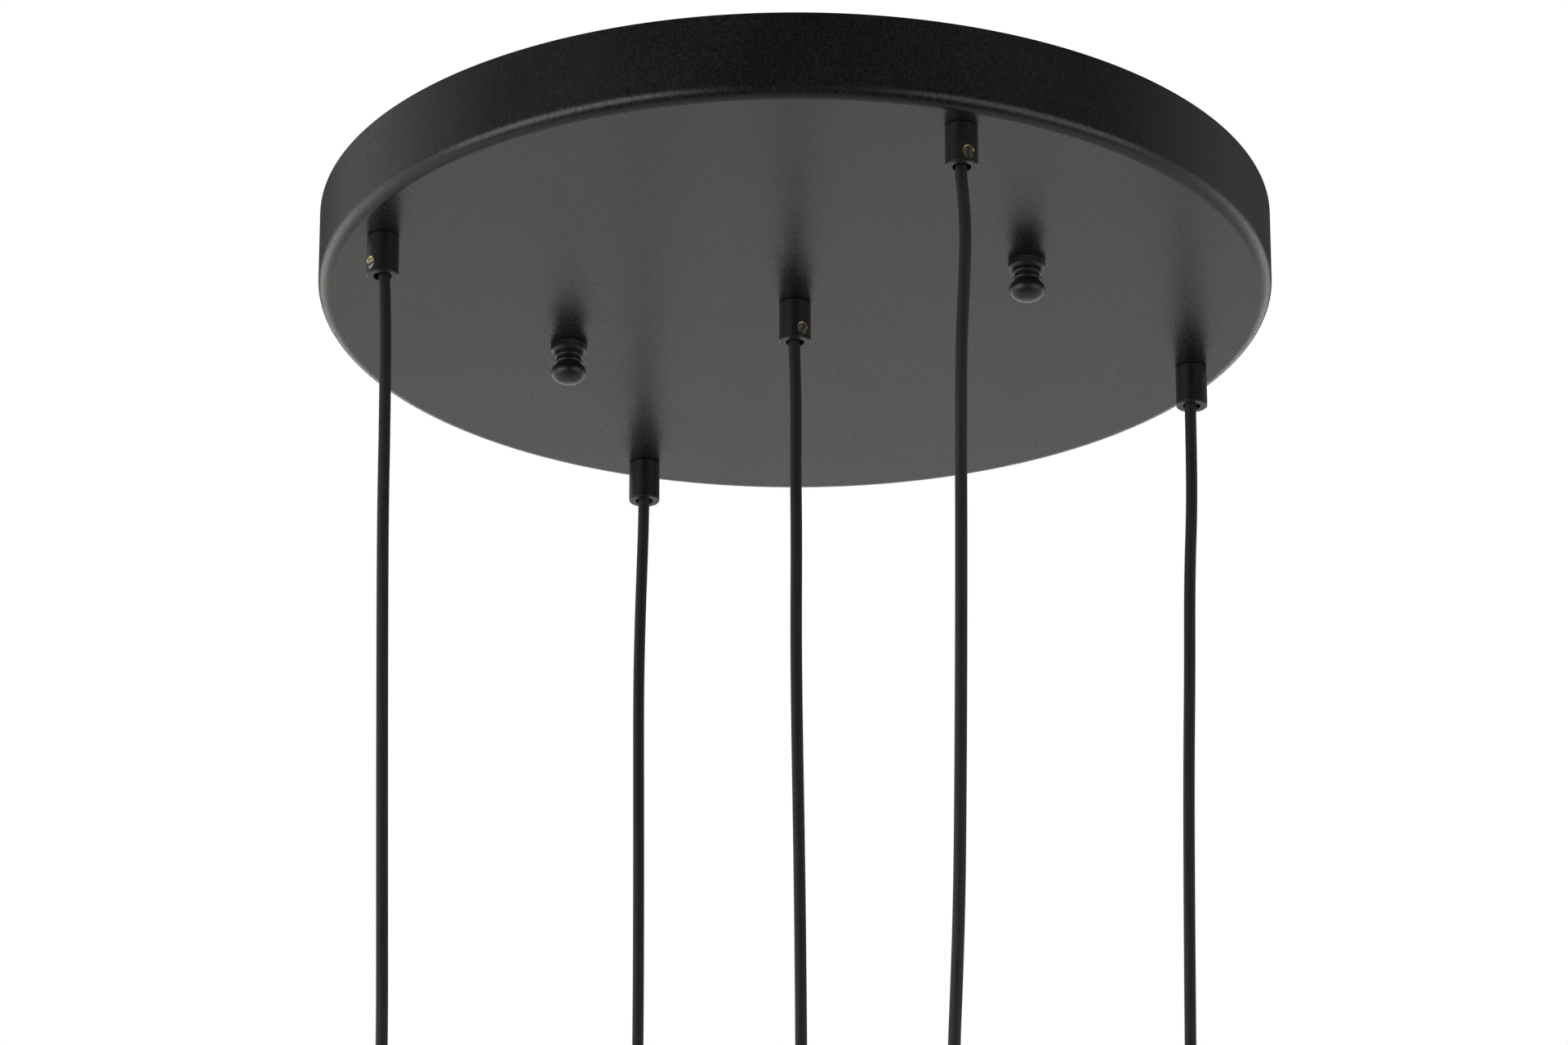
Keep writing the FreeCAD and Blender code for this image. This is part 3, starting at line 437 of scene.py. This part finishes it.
def ball_nut():
    """The nut turned from its threaded bore down to the ball's foot, with the ribs of its ring."""
    root, foot = knurl_radius - knurl_root, -knurl_height - foot_height
    ball_start = math.degrees(math.acos(neck_radius / ball_radius))
    ball_end = -math.degrees(math.asin((nut_length - ball_middle) / ball_half))
    outline = [(0, -nut_bore), (tapped_radius, -nut_bore), (tapped_radius, 0), (root - knurl_taper, 0, 0.1),
               (root, -knurl_height), (knurl_radius, -knurl_height, 0.06),
               (knurl_radius, -knurl_height - knurl_lip, 0.1), (foot_radius, foot, 0.12), (neck_radius, foot)]
    for level in bead_levels:
        outline += arc((bead_ring, -level), bead_radius, bead_radius, bead_span, -bead_span, count=10)
        outline.append((neck_radius, -level - bead_radius - bead_gap))
    outline += arc((0, -ball_middle), ball_radius, ball_half, ball_start, ball_end, count=36)
    outline.append((0, -nut_length))
    rib = turned(rod(rib_radius, -rib_reach, rib_reach, steps=10), rib_slant, "X")
    moved(rib, knurl_radius - rib_radius, 0, -knurl_height / 2)
    for level, way in ((-knurl_height, -1), (-rib_start, 1)):
        trimmed(rib, level, way)
        bmesh.ops.holes_fill(rib, edges=[edge for edge in rib.edges if edge.is_boundary])
    return joined([lathe(outline), circled(rib, rib_count)])


turned_black = lacquer()
for side in ("left", "right"):
    place = axis_of(f"ball_nut_{side}")
    place.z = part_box(f"ball_nut_{side}")[1].z
    piece(f"ball_nut_{side}_turned", ball_nut(), turned_black, place, f"{side}_nut", "black_turned_metal",
          f"ball_nut_{side}", sharp=40)

# Cord grips. Five barrels turned from brass and lacquered black, each on a threaded stem through the tray.
# The cord runs up the bore, and a screw in one side clamps it. The screw's hole was tapped after the
# lacquering, so that its countersunk mouth and its wall are bare brass.
grip_radius, grip_length, grip_edge, grip_bore, bore_depth = 7.5, 20.0, 0.4, 4.3, 17.0
bore_edge, bore_edge_height = 0.3, 0.25
stem_radius, stem_length, stem_bore, stem_thread, stem_pitch, stem_gap = 4.9, 13.0, 3.1, 0.55, 1.0, 0.05
clamp_height, clamp_radius, clamp_play, clamp_hole_start = 4.7, 2.8, 0.05, 3.5
mouth_start, mouth_flare, bare_margin, barrel_facing = 6.9, 0.75, 0.1, 0.85
clamp_angles = {1: 60.0, 2: 100.0, 3: -118.0, 4: -42.0, 5: -35.0}
brass = surface("rolled_brass", (0.6, 0.44, 0.2), (0.76, 0.59, 0.31), grain=0.9, roughness=(0.18, 0.34),
                relief=0.015, stretch=(1, 1, 3), cloud=7.0, metallic=1.0)


def clamp_hole():
    """What the tap and the countersink take out of a barrel, along X at the clamp screw's height."""
    radius, spread = clamp_radius + clamp_play, 3 * mouth_flare
    hole = lathe([(0, clamp_hole_start), (radius, clamp_hole_start), (radius, mouth_start),
                  (radius + spread, mouth_start + spread), (0, mouth_start + spread)], steps=48)
    return moved(turned(hole, 90, "Y"), z=clamp_height)


def grip_barrel():
    """The barrel and the core of its stem, bored through, with the brass showing in the clamp hole."""
    core, stem_end = stem_radius - stem_thread - hair, grip_length + stem_length - stem_gap
    barrel = lathe([(grip_bore, bore_depth), (grip_bore, bore_edge_height, 0.05),
                    (grip_bore + bore_edge, 0, 0.05), (grip_radius - grip_edge, 0, 0.06),
                    (grip_radius, grip_edge, 0.1), (grip_radius, grip_length - grip_edge, 0.1),
                    (grip_radius - grip_edge, grip_length, 0.06), (core, grip_length), (core, stem_end),
                    (stem_bore, stem_end), (stem_bore, bore_depth)], steps=128, segments=3, closed=True)
    barrel = carved(barrel, clamp_hole())
    bare = clamp_radius + mouth_flare + bare_margin
    for face in barrel.faces:
        middle = face.calc_center_median() - Vector((0, 0, clamp_height))
        if middle.x > grip_bore and middle.yz.length < bare and face.normal.x < barrel_facing:
            face.material_index = 1
    return barrel


for n, angle in clamp_angles.items():
    stem = threaded(stem_radius, stem_thread, stem_pitch, grip_length + stem_gap, grip_length + stem_length,
                    steps=48, bore=0.72)
    piece(f"cord_grip_{n}_turned", joined([turned(grip_barrel(), angle), stem]), [turned_black, brass],
          axis_of(f"cord_grip_{n}"), "canopy", "black_turned_metal", f"cord_grip_{n}")

# Grip washers and nuts. Inside the tray each stem carries a toothed washer, whose twisted teeth bite into
# the steel, and a thin hex nut. Both are zinc plated steel.
washer_bore, washer_band, washer_radius, washer_thickness = 5.05, 7.6, 9.0, 0.8
band_low, band_high = 0.1, 0.7
tooth_count, tooth_size, tooth_twist, tooth_inset = 16, (1.6, 1.3, 0.36), 16, 0.84
stem_nut_flats, stem_nut_height, stem_nut_bore, stem_nut_sink, stem_nut_turn = 14.0, 3.0, 4.95, 0.4, 23
washers, stem_nuts = [], []
for n in range(1, 6):
    axis = axis_of(f"cord_grip_{n}") / mm
    washer = lathe([(washer_bore, band_low), (washer_band, band_low), (washer_band, band_high),
                    (washer_bore, band_high)], closed=True)
    tooth = turned(block(tooth_size), tooth_twist, "X")
    moved(tooth, washer_radius - tooth_inset, 0, washer_thickness / 2)
    washers.append(moved(joined([washer, circled(tooth, tooth_count)]), axis.x, axis.y))
    nut = hex_nut(stem_nut_flats, stem_nut_height, stem_nut_bore, stem_nut_sink)
    stem_nuts.append(moved(turned(nut, stem_nut_turn * n), axis.x, axis.y))
inner_floor = canopy_face + pan_wall * mm
piece("toothed_washers", joined(washers), zinc, (0, 0, inner_floor), "canopy", "zinc_plate", "grip_washers")
piece("stem_nuts", joined(stem_nuts), zinc, (0, 0, inner_floor + washer_thickness * mm), "canopy",
      "zinc_plate", "grip_lock_nuts")

# Clamp screws. Slotted grub screws of dark nickel plated steel, turned in until they press the cord to the
# far wall of its bore, with their ends sunk below the barrel's skin.
screw_tip, screw_end, tip_radius, tip_taper, end_edge = 1.95, 6.7, 1.5, 0.9, 0.25
kerf_width, kerf_length, kerf_depth = 0.8, 8.0, 0.9
dark_nickel = surface("dark_nickel", (0.27, 0.26, 0.245), (0.42, 0.41, 0.39), grain=0.6,
                      roughness=(0.08, 0.18), relief=0.01, cloud=3.0, metallic=1.0)
slot_turns = {1: 30, 2: 60, 3: 5, 4: 90, 5: 65}
screws = []
for n, angle in clamp_angles.items():
    blank = lathe([(0, screw_tip), (tip_radius, screw_tip), (clamp_radius, screw_tip + tip_taper),
                   (clamp_radius, screw_end - end_edge), (clamp_radius - end_edge, screw_end),
                   (0, screw_end)], steps=48)
    kerf = turned(moved(block((kerf_width, kerf_length, 2 * kerf_depth)), z=screw_end), slot_turns[n])
    axis = axis_of(f"cord_grip_{n}") / mm
    screws.append(moved(turned(turned(carved(blank, kerf), 90, "Y"), angle), axis.x, axis.y, clamp_height))
piece("clamp_screws", joined(screws), dark_nickel, (0, 0, axis_of("cord_grip_5").z), "canopy",
      "black_screw", "grip_set_screws")


# Cord ends inside the canopy. The jacketed cords come up out of the stems, lie over and run back to one row,
# where the jacket is stripped off the three cores.
def cord_jacket():
    """Black moulded jacket, with soft streaks along the cord and a fine skin."""
    made, shader, place = new_finish("cord_jacket", specular_ior_level=0.45)
    streaks = place.stretched(1, 1, 0.03).noise(1.1)
    skin = place.noise(0.35)
    tone = (0.6 * streaks + 0.4 * skin).between(0.3, 0.7)
    place.feed(shader.inputs["Base Color"], tone.mixed((0.0155, 0.015, 0.0145), (0.027, 0.0262, 0.0255)))
    place.feed(shader.inputs["Roughness"], 0.36 + 0.16 * streaks + 0.05 * skin)
    place.feed(shader.inputs["Normal"], place.bump(0.5 * skin + streaks, 0.03))
    return made


def run(name, routes, radius, finish, body, node):
    """Round cords or wires, each along a smooth line whose control points are its route's points."""
    curve = bpy.data.curves.new(name, "CURVE")
    curve.dimensions = "3D"
    curve.bevel_depth, curve.bevel_resolution = radius * mm, 8 if radius > 1 else 4
    curve.use_fill_caps = True
    for route in routes:
        spline = curve.splines.new("NURBS")
        spline.points.add(len(route) - 1)
        for target, point in zip(spline.points, route):
            target.co = (*point, 1)
        spline.order_u = 3
        spline.use_endpoint_u = True
        spline.resolution_u = 12
    curve.materials.append(finish)
    made = bpy.data.objects.new(name, curve)
    bpy.context.scene.collection.objects.link(made)
    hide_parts(node)
    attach(made, body)
    return made


cord_radius = 2.75
jacket = cord_jacket()
outer_end = [(0.1431, 0.134, -0.0095), (0.14, 0.117, -0.011), (0.134, 0.092, -0.0165),
             (0.12, 0.054, -0.0225), (0.106, 0.017, -0.0265), (0.086, -0.005, -0.0282),
             (0.062, -0.004, -0.0286), (0.049, 0.015, -0.0284), (0.048, 0.038, -0.028), (0.048, 0.06, -0.028)]
inner_end = [(0.1374, -0.1367, -0.0095), (0.126, -0.1245, -0.011), (0.106, -0.103, -0.0175),
             (0.082, -0.076, -0.024), (0.054, -0.041, -0.028), (0.033, -0.003, -0.0286),
             (0.024, 0.038, -0.028), (0.024, 0.06, -0.028)]
middle_end = [(0, 0.011, -0.0095), (0, 0.027, -0.011), (0, 0.044, -0.028), (0, 0.06, -0.028)]
cord_ends = {1: outer_end, 2: [(-x, y, z) for x, y, z in outer_end],
             3: [(-x, y, z) for x, y, z in inner_end], 4: inner_end, 5: middle_end}
face_level, bend_level = -0.0405, -0.0205
joint_places = {joint["name"]: Vector(joint["pos_m"]) for joint in frame["joints"]}
cord_feet = {n: joint_places[f"pendant_{n}_swing"] for n in range(1, 6)}
routes = []
for n, rest in cord_ends.items():
    foot, axis = cord_feet[n], axis_of(f"cord_grip_{n}")
    clamped = foot + Vector((0, 0, clamp_height * mm))
    routes.append([foot, clamped, (axis.x, axis.y, face_level), (axis.x, axis.y, bend_level), *rest])
run("cord_ends", routes, cord_radius, jacket, "canopy", "cord_tails")


# Cores. Each cord's black, white and green wires fan out level by level, without crossing, into the splice
# blocks. A sixth green wire runs back to a ring crimped under the earth screw.
def sheath(name, dark, light):
    """Smooth coloured plastic drawn over a wire."""
    return surface(name, dark, light, grain=0.5, roughness=(0.32, 0.48), relief=0.015, cloud=8.0)


def entry_place(number):
    """How far an entry lies to the right of its block's middle, in metres."""
    return (number - (entry_count - 1) / 2) * entry_pitch


core_radius, row_level, row_front, block_spacing = 0.8, -0.028, 0.06, 0.034
entry_count, entry_pitch, level_step, core_step = 6, 0.0046, 0.005, 0.00175
straight_end, climb_end, fan_end, entry_end = 0.066, 0.078, 0.118, 0.134
row_places = {2: -0.048, 3: -0.024, 5: 0.0, 4: 0.024, 1: 0.048}
earth_lead = [(0.06, 0.092, -0.021), (0.076, 0.062, -0.015), (0.077, 0.044, -0.009), (0.075, 0.026, -0.0042),
              (0.075, 0.0122, -0.0042)]
sheaths = {"live": (-1, sheath("black_sheath", (0.012, 0.012, 0.012), (0.024, 0.024, 0.024))),
           "neutral": (0, sheath("white_sheath", (0.66, 0.65, 0.61), (0.78, 0.77, 0.74))),
           "earth": (1, sheath("green_sheath", (0.035, 0.26, 0.08), (0.07, 0.38, 0.13)))}
for kind, (step, finish) in sheaths.items():
    start, level, routes = row_level + step * core_step, row_level + step * level_step, []
    for number, here in enumerate(row_places.values()):
        there = step * block_spacing + entry_place(number)
        climb = [(here, climb_end, level)] if step else []
        routes.append([(here, row_front, start), (here, straight_end, start), *climb,
                       (there, fan_end, level), (there, entry_end, level)])
    if kind == "earth":
        spare = block_spacing + entry_place(entry_count - 1)
        routes.append([(spare, entry_end, level), (spare, fan_end, level), *earth_lead])
    run(f"{kind}_cores", routes, core_radius, finish, "canopy", f"{kind}_wires")

# Earth ring. A terminal of tinned copper, stamped as a flat ring with a tongue and held under the earth
# screw. Its barrel is crimped onto the bare end of the earth lead.
tinned = surface("tinned_copper", (0.5, 0.5, 0.5), (0.72, 0.71, 0.69), grain=0.8, roughness=(0.2, 0.35),
                 relief=0.01, metallic=1.0)
eyelet_bore, eyelet_radius, tongue_size, tongue_middle = 2.1, 4.5, (3.2, 4.2, 0.8), 5.6
crimp_bore, crimp_radius, crimp_waist, crimp_length = 0.85, 1.6, 1.35, 7.0
crimp_start, crimp_level, dent_start, dent_end, dent_slope = 5.2, -0.9, 2.2, 4.6, 0.4
eyelet = lathe([(eyelet_bore, 0, 0.1), (eyelet_radius, 0, 0.15), (eyelet_radius, earth_ring, 0.15),
                (eyelet_bore, earth_ring, 0.1)], steps=64, segments=2, closed=True)
tongue = moved(block(tongue_size), 0, tongue_middle, earth_ring / 2)
crimp = lathe([(crimp_bore, 0), (crimp_radius, 0, 0.1), (crimp_radius, dent_start, 0.4),
               (crimp_waist, dent_start + dent_slope, 0.4), (crimp_waist, dent_end - dent_slope, 0.4),
               (crimp_radius, dent_end, 0.4), (crimp_radius, crimp_length, 0.1), (crimp_bore, crimp_length)],
              steps=40, segments=3, closed=True)
moved(turned(crimp, -90, "X"), 0, crimp_start, crimp_level)
piece("earth_eyelet", joined([eyelet, tongue, crimp]), tinned,
      (earth_offset * mm, 0, -(bar_thickness + earth_ring) * mm), "canopy", "zinc_plate", soften=0.12)

# Splice blocks. Three moulded push-in connectors, one for each kind of core, each with six round entries in
# front and six small levers on top that release the wires.
block_size, block_round, block_drop, block_front = (29.0, 18.0, 7.3), 0.7, 0.35, 0.128
entry_radius, entry_depth, entry_mouth, entry_flare, entry_spare = 1.5, 8.0, 2.6, 0.6, 1.0
lever_size, lever_round, lever_level, lever_middle = (3.7, 12, 1.5), 0.45, 3.22, 9.4
well_size, well_level = (4.1, 12.4, 1.6), 3.1
block_plastic = surface("block_plastic", (0.56, 0.57, 0.56), (0.66, 0.665, 0.65), grain=0.6,
                        roughness=(0.3, 0.42), relief=0.01, cloud=10.0)
lever_plastic = surface("lever_plastic", (0.3, 0.31, 0.32), (0.36, 0.37, 0.38), grain=0.6,
                        roughness=(0.32, 0.45), relief=0.01, cloud=10.0)
bodies, levers = [], []
for step in (-1, 0, 1):
    aside, lift, cuts = step * block_spacing / mm, step * level_step / mm, []
    for number in range(entry_count):
        across = entry_place(number) / mm
        entry = lathe([(0, -entry_spare), (entry_mouth, -entry_spare), (entry_radius, entry_flare),
                       (entry_radius, entry_depth), (0, entry_depth)], steps=32)
        cuts.append(moved(turned(entry, -90, "X"), across))
        cuts.append(moved(block(well_size), across, lever_middle, well_level))
        levers.append(moved(block(lever_size, lever_round), across + aside, lever_middle, lever_level + lift))
    housing = moved(block(block_size, block_round), 0, block_size[1] / 2, -block_drop)
    bodies.append(moved(carved(housing, joined(cuts)), aside, 0, lift))
piece("splice_blocks", joined(bodies), block_plastic, (0, block_front, row_level), "canopy",
      "connector_plastic", "wire_connectors")
piece("splice_levers", joined(levers), lever_plastic, (0, block_front, row_level), "canopy",
      "connector_plastic")

# Cord glands. Below the picture each cord ends in a lampholder, drawn here downwards from the cord's end.
# On top of each a ribbed gland, moulded of black nylon, grips the cord and screws down into the cap.
gland_radius, gland_length, gland_stem, gland_bore, gland_stem_bore = 6.0, 14.0, 8.0, 2.95, 2.2
gland_seat, gland_shoulder, gland_thread, gland_mouth, gland_mouth_depth = 8.0, 4.2, 0.5, 3.2, 0.3
crown_edge, crown_drop, crown_face = 4.9, 0.6, 4.0
gland_ribs, gland_rib, gland_rib_stand, gland_rib_foot, gland_rib_top = 24, 0.5, 0.45, 0.6, 4.6
gland_plastic = surface("gland_plastic", (0.014, 0.014, 0.014), (0.026, 0.026, 0.026), grain=0.3,
                        roughness=(0.42, 0.55), relief=0.03, cloud=6.0)
holder_tops = {n: joint_places[f"shade_ring_{n}_spin"] for n in range(1, 6)}
on_cord = {n: [] for n in holder_tops}


def gland():
    core, body_radius = stem_radius - gland_thread, gland_radius - gland_rib_stand
    foot, stem_end = -gland_length, -gland_length - gland_stem
    body = lathe([(gland_bore, -gland_mouth_depth), (gland_bore, -gland_seat), (gland_stem_bore, -gland_seat),
                  (gland_stem_bore, stem_end), (core, stem_end), (core, foot), (body_radius, foot, 0.15),
                  (body_radius, -gland_shoulder, 0.3), (crown_edge, -crown_drop, 0.5), (crown_face, 0, 0.3),
                  (gland_mouth, 0, 0.1)], steps=96, segments=3, closed=True)
    rib = moved(rod(gland_rib, foot + gland_rib_foot, -gland_rib_top, steps=10), gland_radius - gland_rib)
    stem = threaded(stem_radius, gland_thread, stem_pitch, stem_end, foot, steps=40, bore=0.6)
    return joined([body, circled(rib, gland_ribs), stem])


for n, hung in on_cord.items():
    hung.append(piece(f"gland_{n}", gland(), gland_plastic, holder_tops[n], f"pendant_{n}", "gland_plastic",
                      f"cord_gland_{n}"))

# Lampholder caps. Domed tops drawn from sheet steel and lacquered black, each with a tapped hole for its
# gland. They are pressed over the tops of the cups.
cap_radius, cap_height, cap_round, cap_wall, cap_bore = 20.25, 20.0, 8.0, 1.2, 4.95
holder_black = surface("holder_black", (0.0125, 0.0125, 0.013), (0.021, 0.0208, 0.0205), grain=0.45,
                       roughness=(0.3, 0.42), relief=0.02, cloud=18.0)


def cap():
    low, high, inside = -gland_length - cap_height, -gland_length, cap_radius - cap_wall
    return lathe([(cap_bore, high, 0.2), (cap_radius, high, cap_round), (cap_radius, low, 0.25),
                  (inside, low, 0.25), (inside, high - cap_wall, cap_round - cap_wall),
                  (cap_bore, high - cap_wall)], steps=128, segments=8, closed=True)


for n, hung in on_cord.items():
    hung.append(piece(f"cap_{n}", cap(), holder_black, holder_tops[n], f"pendant_{n}", "black_holder_metal",
                      f"holder_cap_{n}"))

# Lampholder cups. Shells drawn from sheet steel and lacquered black, with a coarse outer thread rolled in
# for the shade's ring. They carry the insulators.
cup_radius, cup_wall, cup_top, cup_length, cup_rim = 19.0, 1.0, 24.0, 48.0, 1.2
cup_threads, cup_pitch, cup_groove, cup_flank, cup_crest, cup_runout = 11, 2.4, 0.5, 0.6, 0.7, 2.7


def cup():
    bottom, root, outline = -cup_top - cup_length, cup_radius - cup_groove, []
    for turn in range(cup_threads):
        foot = bottom + cup_rim + cup_pitch * turn
        crest_low, crest_high = foot + cup_flank, foot + cup_flank + cup_crest
        outline += [(root, foot), (cup_radius, crest_low, 0.12), (cup_radius, crest_high, 0.12),
                    (root, crest_high + cup_flank)]
    runout = foot + cup_runout
    return lathe([(cup_radius - cup_wall, -cup_top), (cup_radius - cup_wall, bottom), (root, bottom, 0.15),
                  *outline, (root, runout), (cup_radius, runout + cup_flank, 0.2), (cup_radius, -cup_top)],
                 steps=128, segments=2, closed=True)


for n, hung in on_cord.items():
    hung.append(piece(f"cup_{n}", cup(), holder_black, holder_tops[n], f"pendant_{n}", "black_holder_metal",
                      f"holder_cup_{n}"))

# Insulators. Pots of white glazed porcelain, pressed dry and fired, which sit inside the cups and hold the
# screw shells and the sprung centre contacts.
core_width, core_bore, core_top, core_bottom, core_roof = 17.9, 13.7, 26.0, 66.0, 38.0
glaze = surface("white_glaze", (0.74, 0.72, 0.67), (0.82, 0.8, 0.75), grain=2.5, roughness=(0.12, 0.22),
                relief=0.02, cloud=9.0, coat_weight=0.4, coat_roughness=0.08)


def insulator():
    return lathe([(0, -core_roof), (core_bore, -core_roof), (core_bore, -core_bottom, 0.6),
                  (core_width, -core_bottom, 0.8), (core_width, -core_top, 0.8), (0, -core_top)])


for n, hung in on_cord.items():
    hung.append(piece(f"insulator_{n}", insulator(), glaze, holder_tops[n], f"pendant_{n}", "insulator",
                      f"holder_core_{n}"))

# Screw shells. Thin brass tubes with a rolled thread for the lamp, closed in above to a ring round the
# contact and held inside the insulators.
shell_radius, shell_wall, shell_top, shell_bottom, shell_lip = 13.25, 0.28, 38.0, 64.0, 0.9
shell_threads, shell_pitch, shell_groove, shell_swell, shell_root, shell_crest = 6, 3.4, 0.75, 0.05, 1.2, 2.9
shell_neck, shell_roof, shoulder_outside, shoulder_inside = 8.0, 0.35, 10.6, 10.4


def shell():
    inner = [(shell_radius, -shell_bottom), (shell_radius, -shell_bottom + shell_lip, 0.4)]
    for turn in range(shell_threads):
        foot = -shell_bottom + shell_lip + shell_pitch * turn
        inner += [(shell_radius - shell_groove, foot + shell_root, 0.7),
                  (shell_radius + shell_swell, foot + shell_crest, 0.7)]
    outer = [(corner[0] + shell_wall, *corner[1:]) for corner in inner]
    outer += [(shoulder_outside, -shell_top, 0.6), (shell_neck, -shell_top)]
    inner += [(shoulder_inside, -shell_top - shell_roof, 0.6), (shell_neck, -shell_top - shell_roof)]
    return lathe(inner + outer[::-1], closed=True)


for n, hung in on_cord.items():
    hung.append(piece(f"shell_{n}", shell(), brass, holder_tops[n], f"pendant_{n}", "shell_brass",
                      f"screw_shell_{n}", sharp=50))

# Centre contacts. Sprung tongues stamped from brass, fixed inside the insulators to press on the lamp's cap.
# Their shapes stay as they are in the frame and get the shells' brass.
for n, hung in on_cord.items():
    contact = frame["nodes"][f"centre_contact_{n}"]
    for holder in contact.material_slots:
        holder.material = brass
    hung.append(contact)

# Shade rings. Moulded of black plastic and screwed up the cups' thread by hand, each with small ribs to turn
# it by and a flange that would bear a shade. They ride with their cord and turn on it.
ring_bore, ring_width, ring_top, ring_depth, flange_radius, flange = 19.08, 22.48, 48.0, 8.0, 25.0, 2.0
ring_ribs, ring_rib, ring_rib_stand, ring_rib_foot, ring_rib_sunk = 36, 0.7, 0.5, 0.4, 0.1
ring_plastic = surface("ring_plastic", (0.013, 0.013, 0.013), (0.024, 0.024, 0.0245), grain=0.35,
                       roughness=(0.4, 0.52), relief=0.03, cloud=12.0)


def shade_ring():
    low, step, skin = -ring_top - ring_depth, -ring_top - flange, ring_width - ring_rib_stand
    ring = lathe([(ring_bore, low, 0.3), (skin, low, 0.4), (skin, step, 0.3), (flange_radius, step, 0.6),
                  (flange_radius, -ring_top, 0.6), (ring_bore, -ring_top, 0.3)],
                 steps=128, segments=3, closed=True)
    rib = moved(rod(ring_rib, low + ring_rib_foot, step + ring_rib_sunk, steps=10), ring_width - ring_rib)
    return joined([ring, circled(rib, ring_ribs)])


for n, hung in on_cord.items():
    hung.append(piece(f"ring_{n}_moulded", shade_ring(), ring_plastic, holder_tops[n], f"ring_{n}",
                      "ring_plastic", f"shade_ring_{n}"))

# Hanging cords. Five round black cords, each clamped in its grip and ending in the gland of its lampholder.
# They hang plumb, with a slight set left from the reel.
hanging_routes = {
    1: [(0, 24), (-0.4, 56), (-2.4, 92), (-3.4, 140), (-5, 190), (-6.1, 245), (-7, 305), (-7.6, 352),
        (-7.6, 386)],
    2: [(0, 14), (-0.7, 40), (-1.5, 68), (-2, 104), (-1.6, 150), (-1.1, 205), (-0.8, 262), (-0.9, 322),
        (-0.9, 356)],
    3: [(0.9, 16), (1.7, 44), (2.1, 80), (2.2, 118), (2.9, 160), (4, 212), (5.3, 270), (6.6, 325), (7.8, 376),
        (7.8, 416)],
    4: [(0, 7), (1.3, 20), (2, 38), (0.9, 62), (-0.7, 90), (-1.3, 130), (-1.6, 180), (-2.3, 240), (-3.2, 300),
        (-4.2, 350), (-6, 392), (-7.6, 422), (-7.6, 446)],
    5: [(0.4, 12), (1, 34), (0.8, 64), (1.2, 104), (0.9, 152), (1.4, 200), (2.3, 250), (3, 306), (3.4, 366),
        (3.5, 430), (3.5, 476)],
}
pivot_gap = 0.6
for n, route in hanging_routes.items():
    points = [cord_feet[n] + Vector((across, 0, -down)) * mm for across, down in [(0, pivot_gap), *route]]
    cord = run(f"hanging_cord_{n}", [points], cord_radius, jacket, f"pendant_{n}", f"cord_{n}")


# Room. A pale floor far below, a white background, and a wide soft lamp on each side of the camera.
# The room is bright low down on its far side and overhead, and dim behind the camera.
def room_light():
    world = bpy.data.worlds.new("room")
    world.use_nodes = True
    back = world.node_tree.nodes["Background"]
    direction = Field(world.node_tree).add("TexCoord", output="Generated")
    across, along, up = (direction.add("SeparateXYZ", None, {"Vector": direction}, axis) for axis in "XYZ")
    far = math.cos(view_azimuth) * along - math.sin(view_azimuth) * across
    left = -math.cos(view_azimuth) * across - math.sin(view_azimuth) * along
    low_band = far.between(-0.1, 0.75) * (up.between(-0.62, -0.16) * (1 - up.between(0.0, 0.3)))
    ground = far.between(-0.25, 0.35) * (1 - up.between(-0.8, -0.35))
    sides = 0.6 * left.between(0.35, 0.85) + 0.2 * (0 - left).between(0.35, 0.85)
    sides = sides * (0.25 + 0.75 * far.between(-0.3, 0.4)) * (1 - up.between(0.45, 0.75))
    overhead = up.between(0.6, 0.95)
    glow = 0.07 + 1.3 * low_band + 0.55 * ground + sides + 0.8 * overhead
    seen = direction.add("LightPath", output="Is Camera Ray")
    seen.feed(back.inputs["Color"], seen.mixed((1, 0.975, 0.935), (1, 1, 1)))
    glow.feed(back.inputs["Strength"], seen + (1 - seen) * glow)
    bpy.context.scene.world = world


def soft_lamp(name, side, radiance, width=2.8, height=1.5, low_angle=17, reach=2.6):
    """A rectangular lamp at a distance, turned by an angle from the camera's side and aimed at the canopy."""
    turn, drop = view_azimuth + math.radians(side), math.radians(low_angle)
    lamp = bpy.data.objects.new(name, bpy.data.lights.new(name, "AREA"))
    bpy.context.scene.collection.objects.link(lamp)
    lamp.data.shape, lamp.data.size, lamp.data.size_y = "RECTANGLE", width, height
    lamp.data.energy = radiance * math.pi * width * height
    way = Vector((math.sin(turn) * math.cos(drop), -math.cos(turn) * math.cos(drop), -math.sin(drop)))
    lamp.location = Vector((0, 0, canopy_face)) + way * reach
    lamp.rotation_mode = "QUATERNION"
    lamp.rotation_quaternion = way.to_track_quat("Z", "Y")
    lamp.visible_camera = False


floor_radius, floor_level = 2.5, -8
room_light()
soft_lamp("left_lamp", side=-55, radiance=2.3)
soft_lamp("right_lamp", side=55, radiance=1.3)
floor_shape = bmesh.new()
bmesh.ops.create_circle(floor_shape, cap_ends=True, segments=96, radius=floor_radius)
floor = plain(moved(floor_shape, z=floor_level), "floor")
floor.data.materials.append(surface("pale_floor", (0.8, 0.8, 0.78), (0.84, 0.84, 0.82), grain=20,
                                    roughness=(0.8, 0.9), relief=0.1, cloud=400))
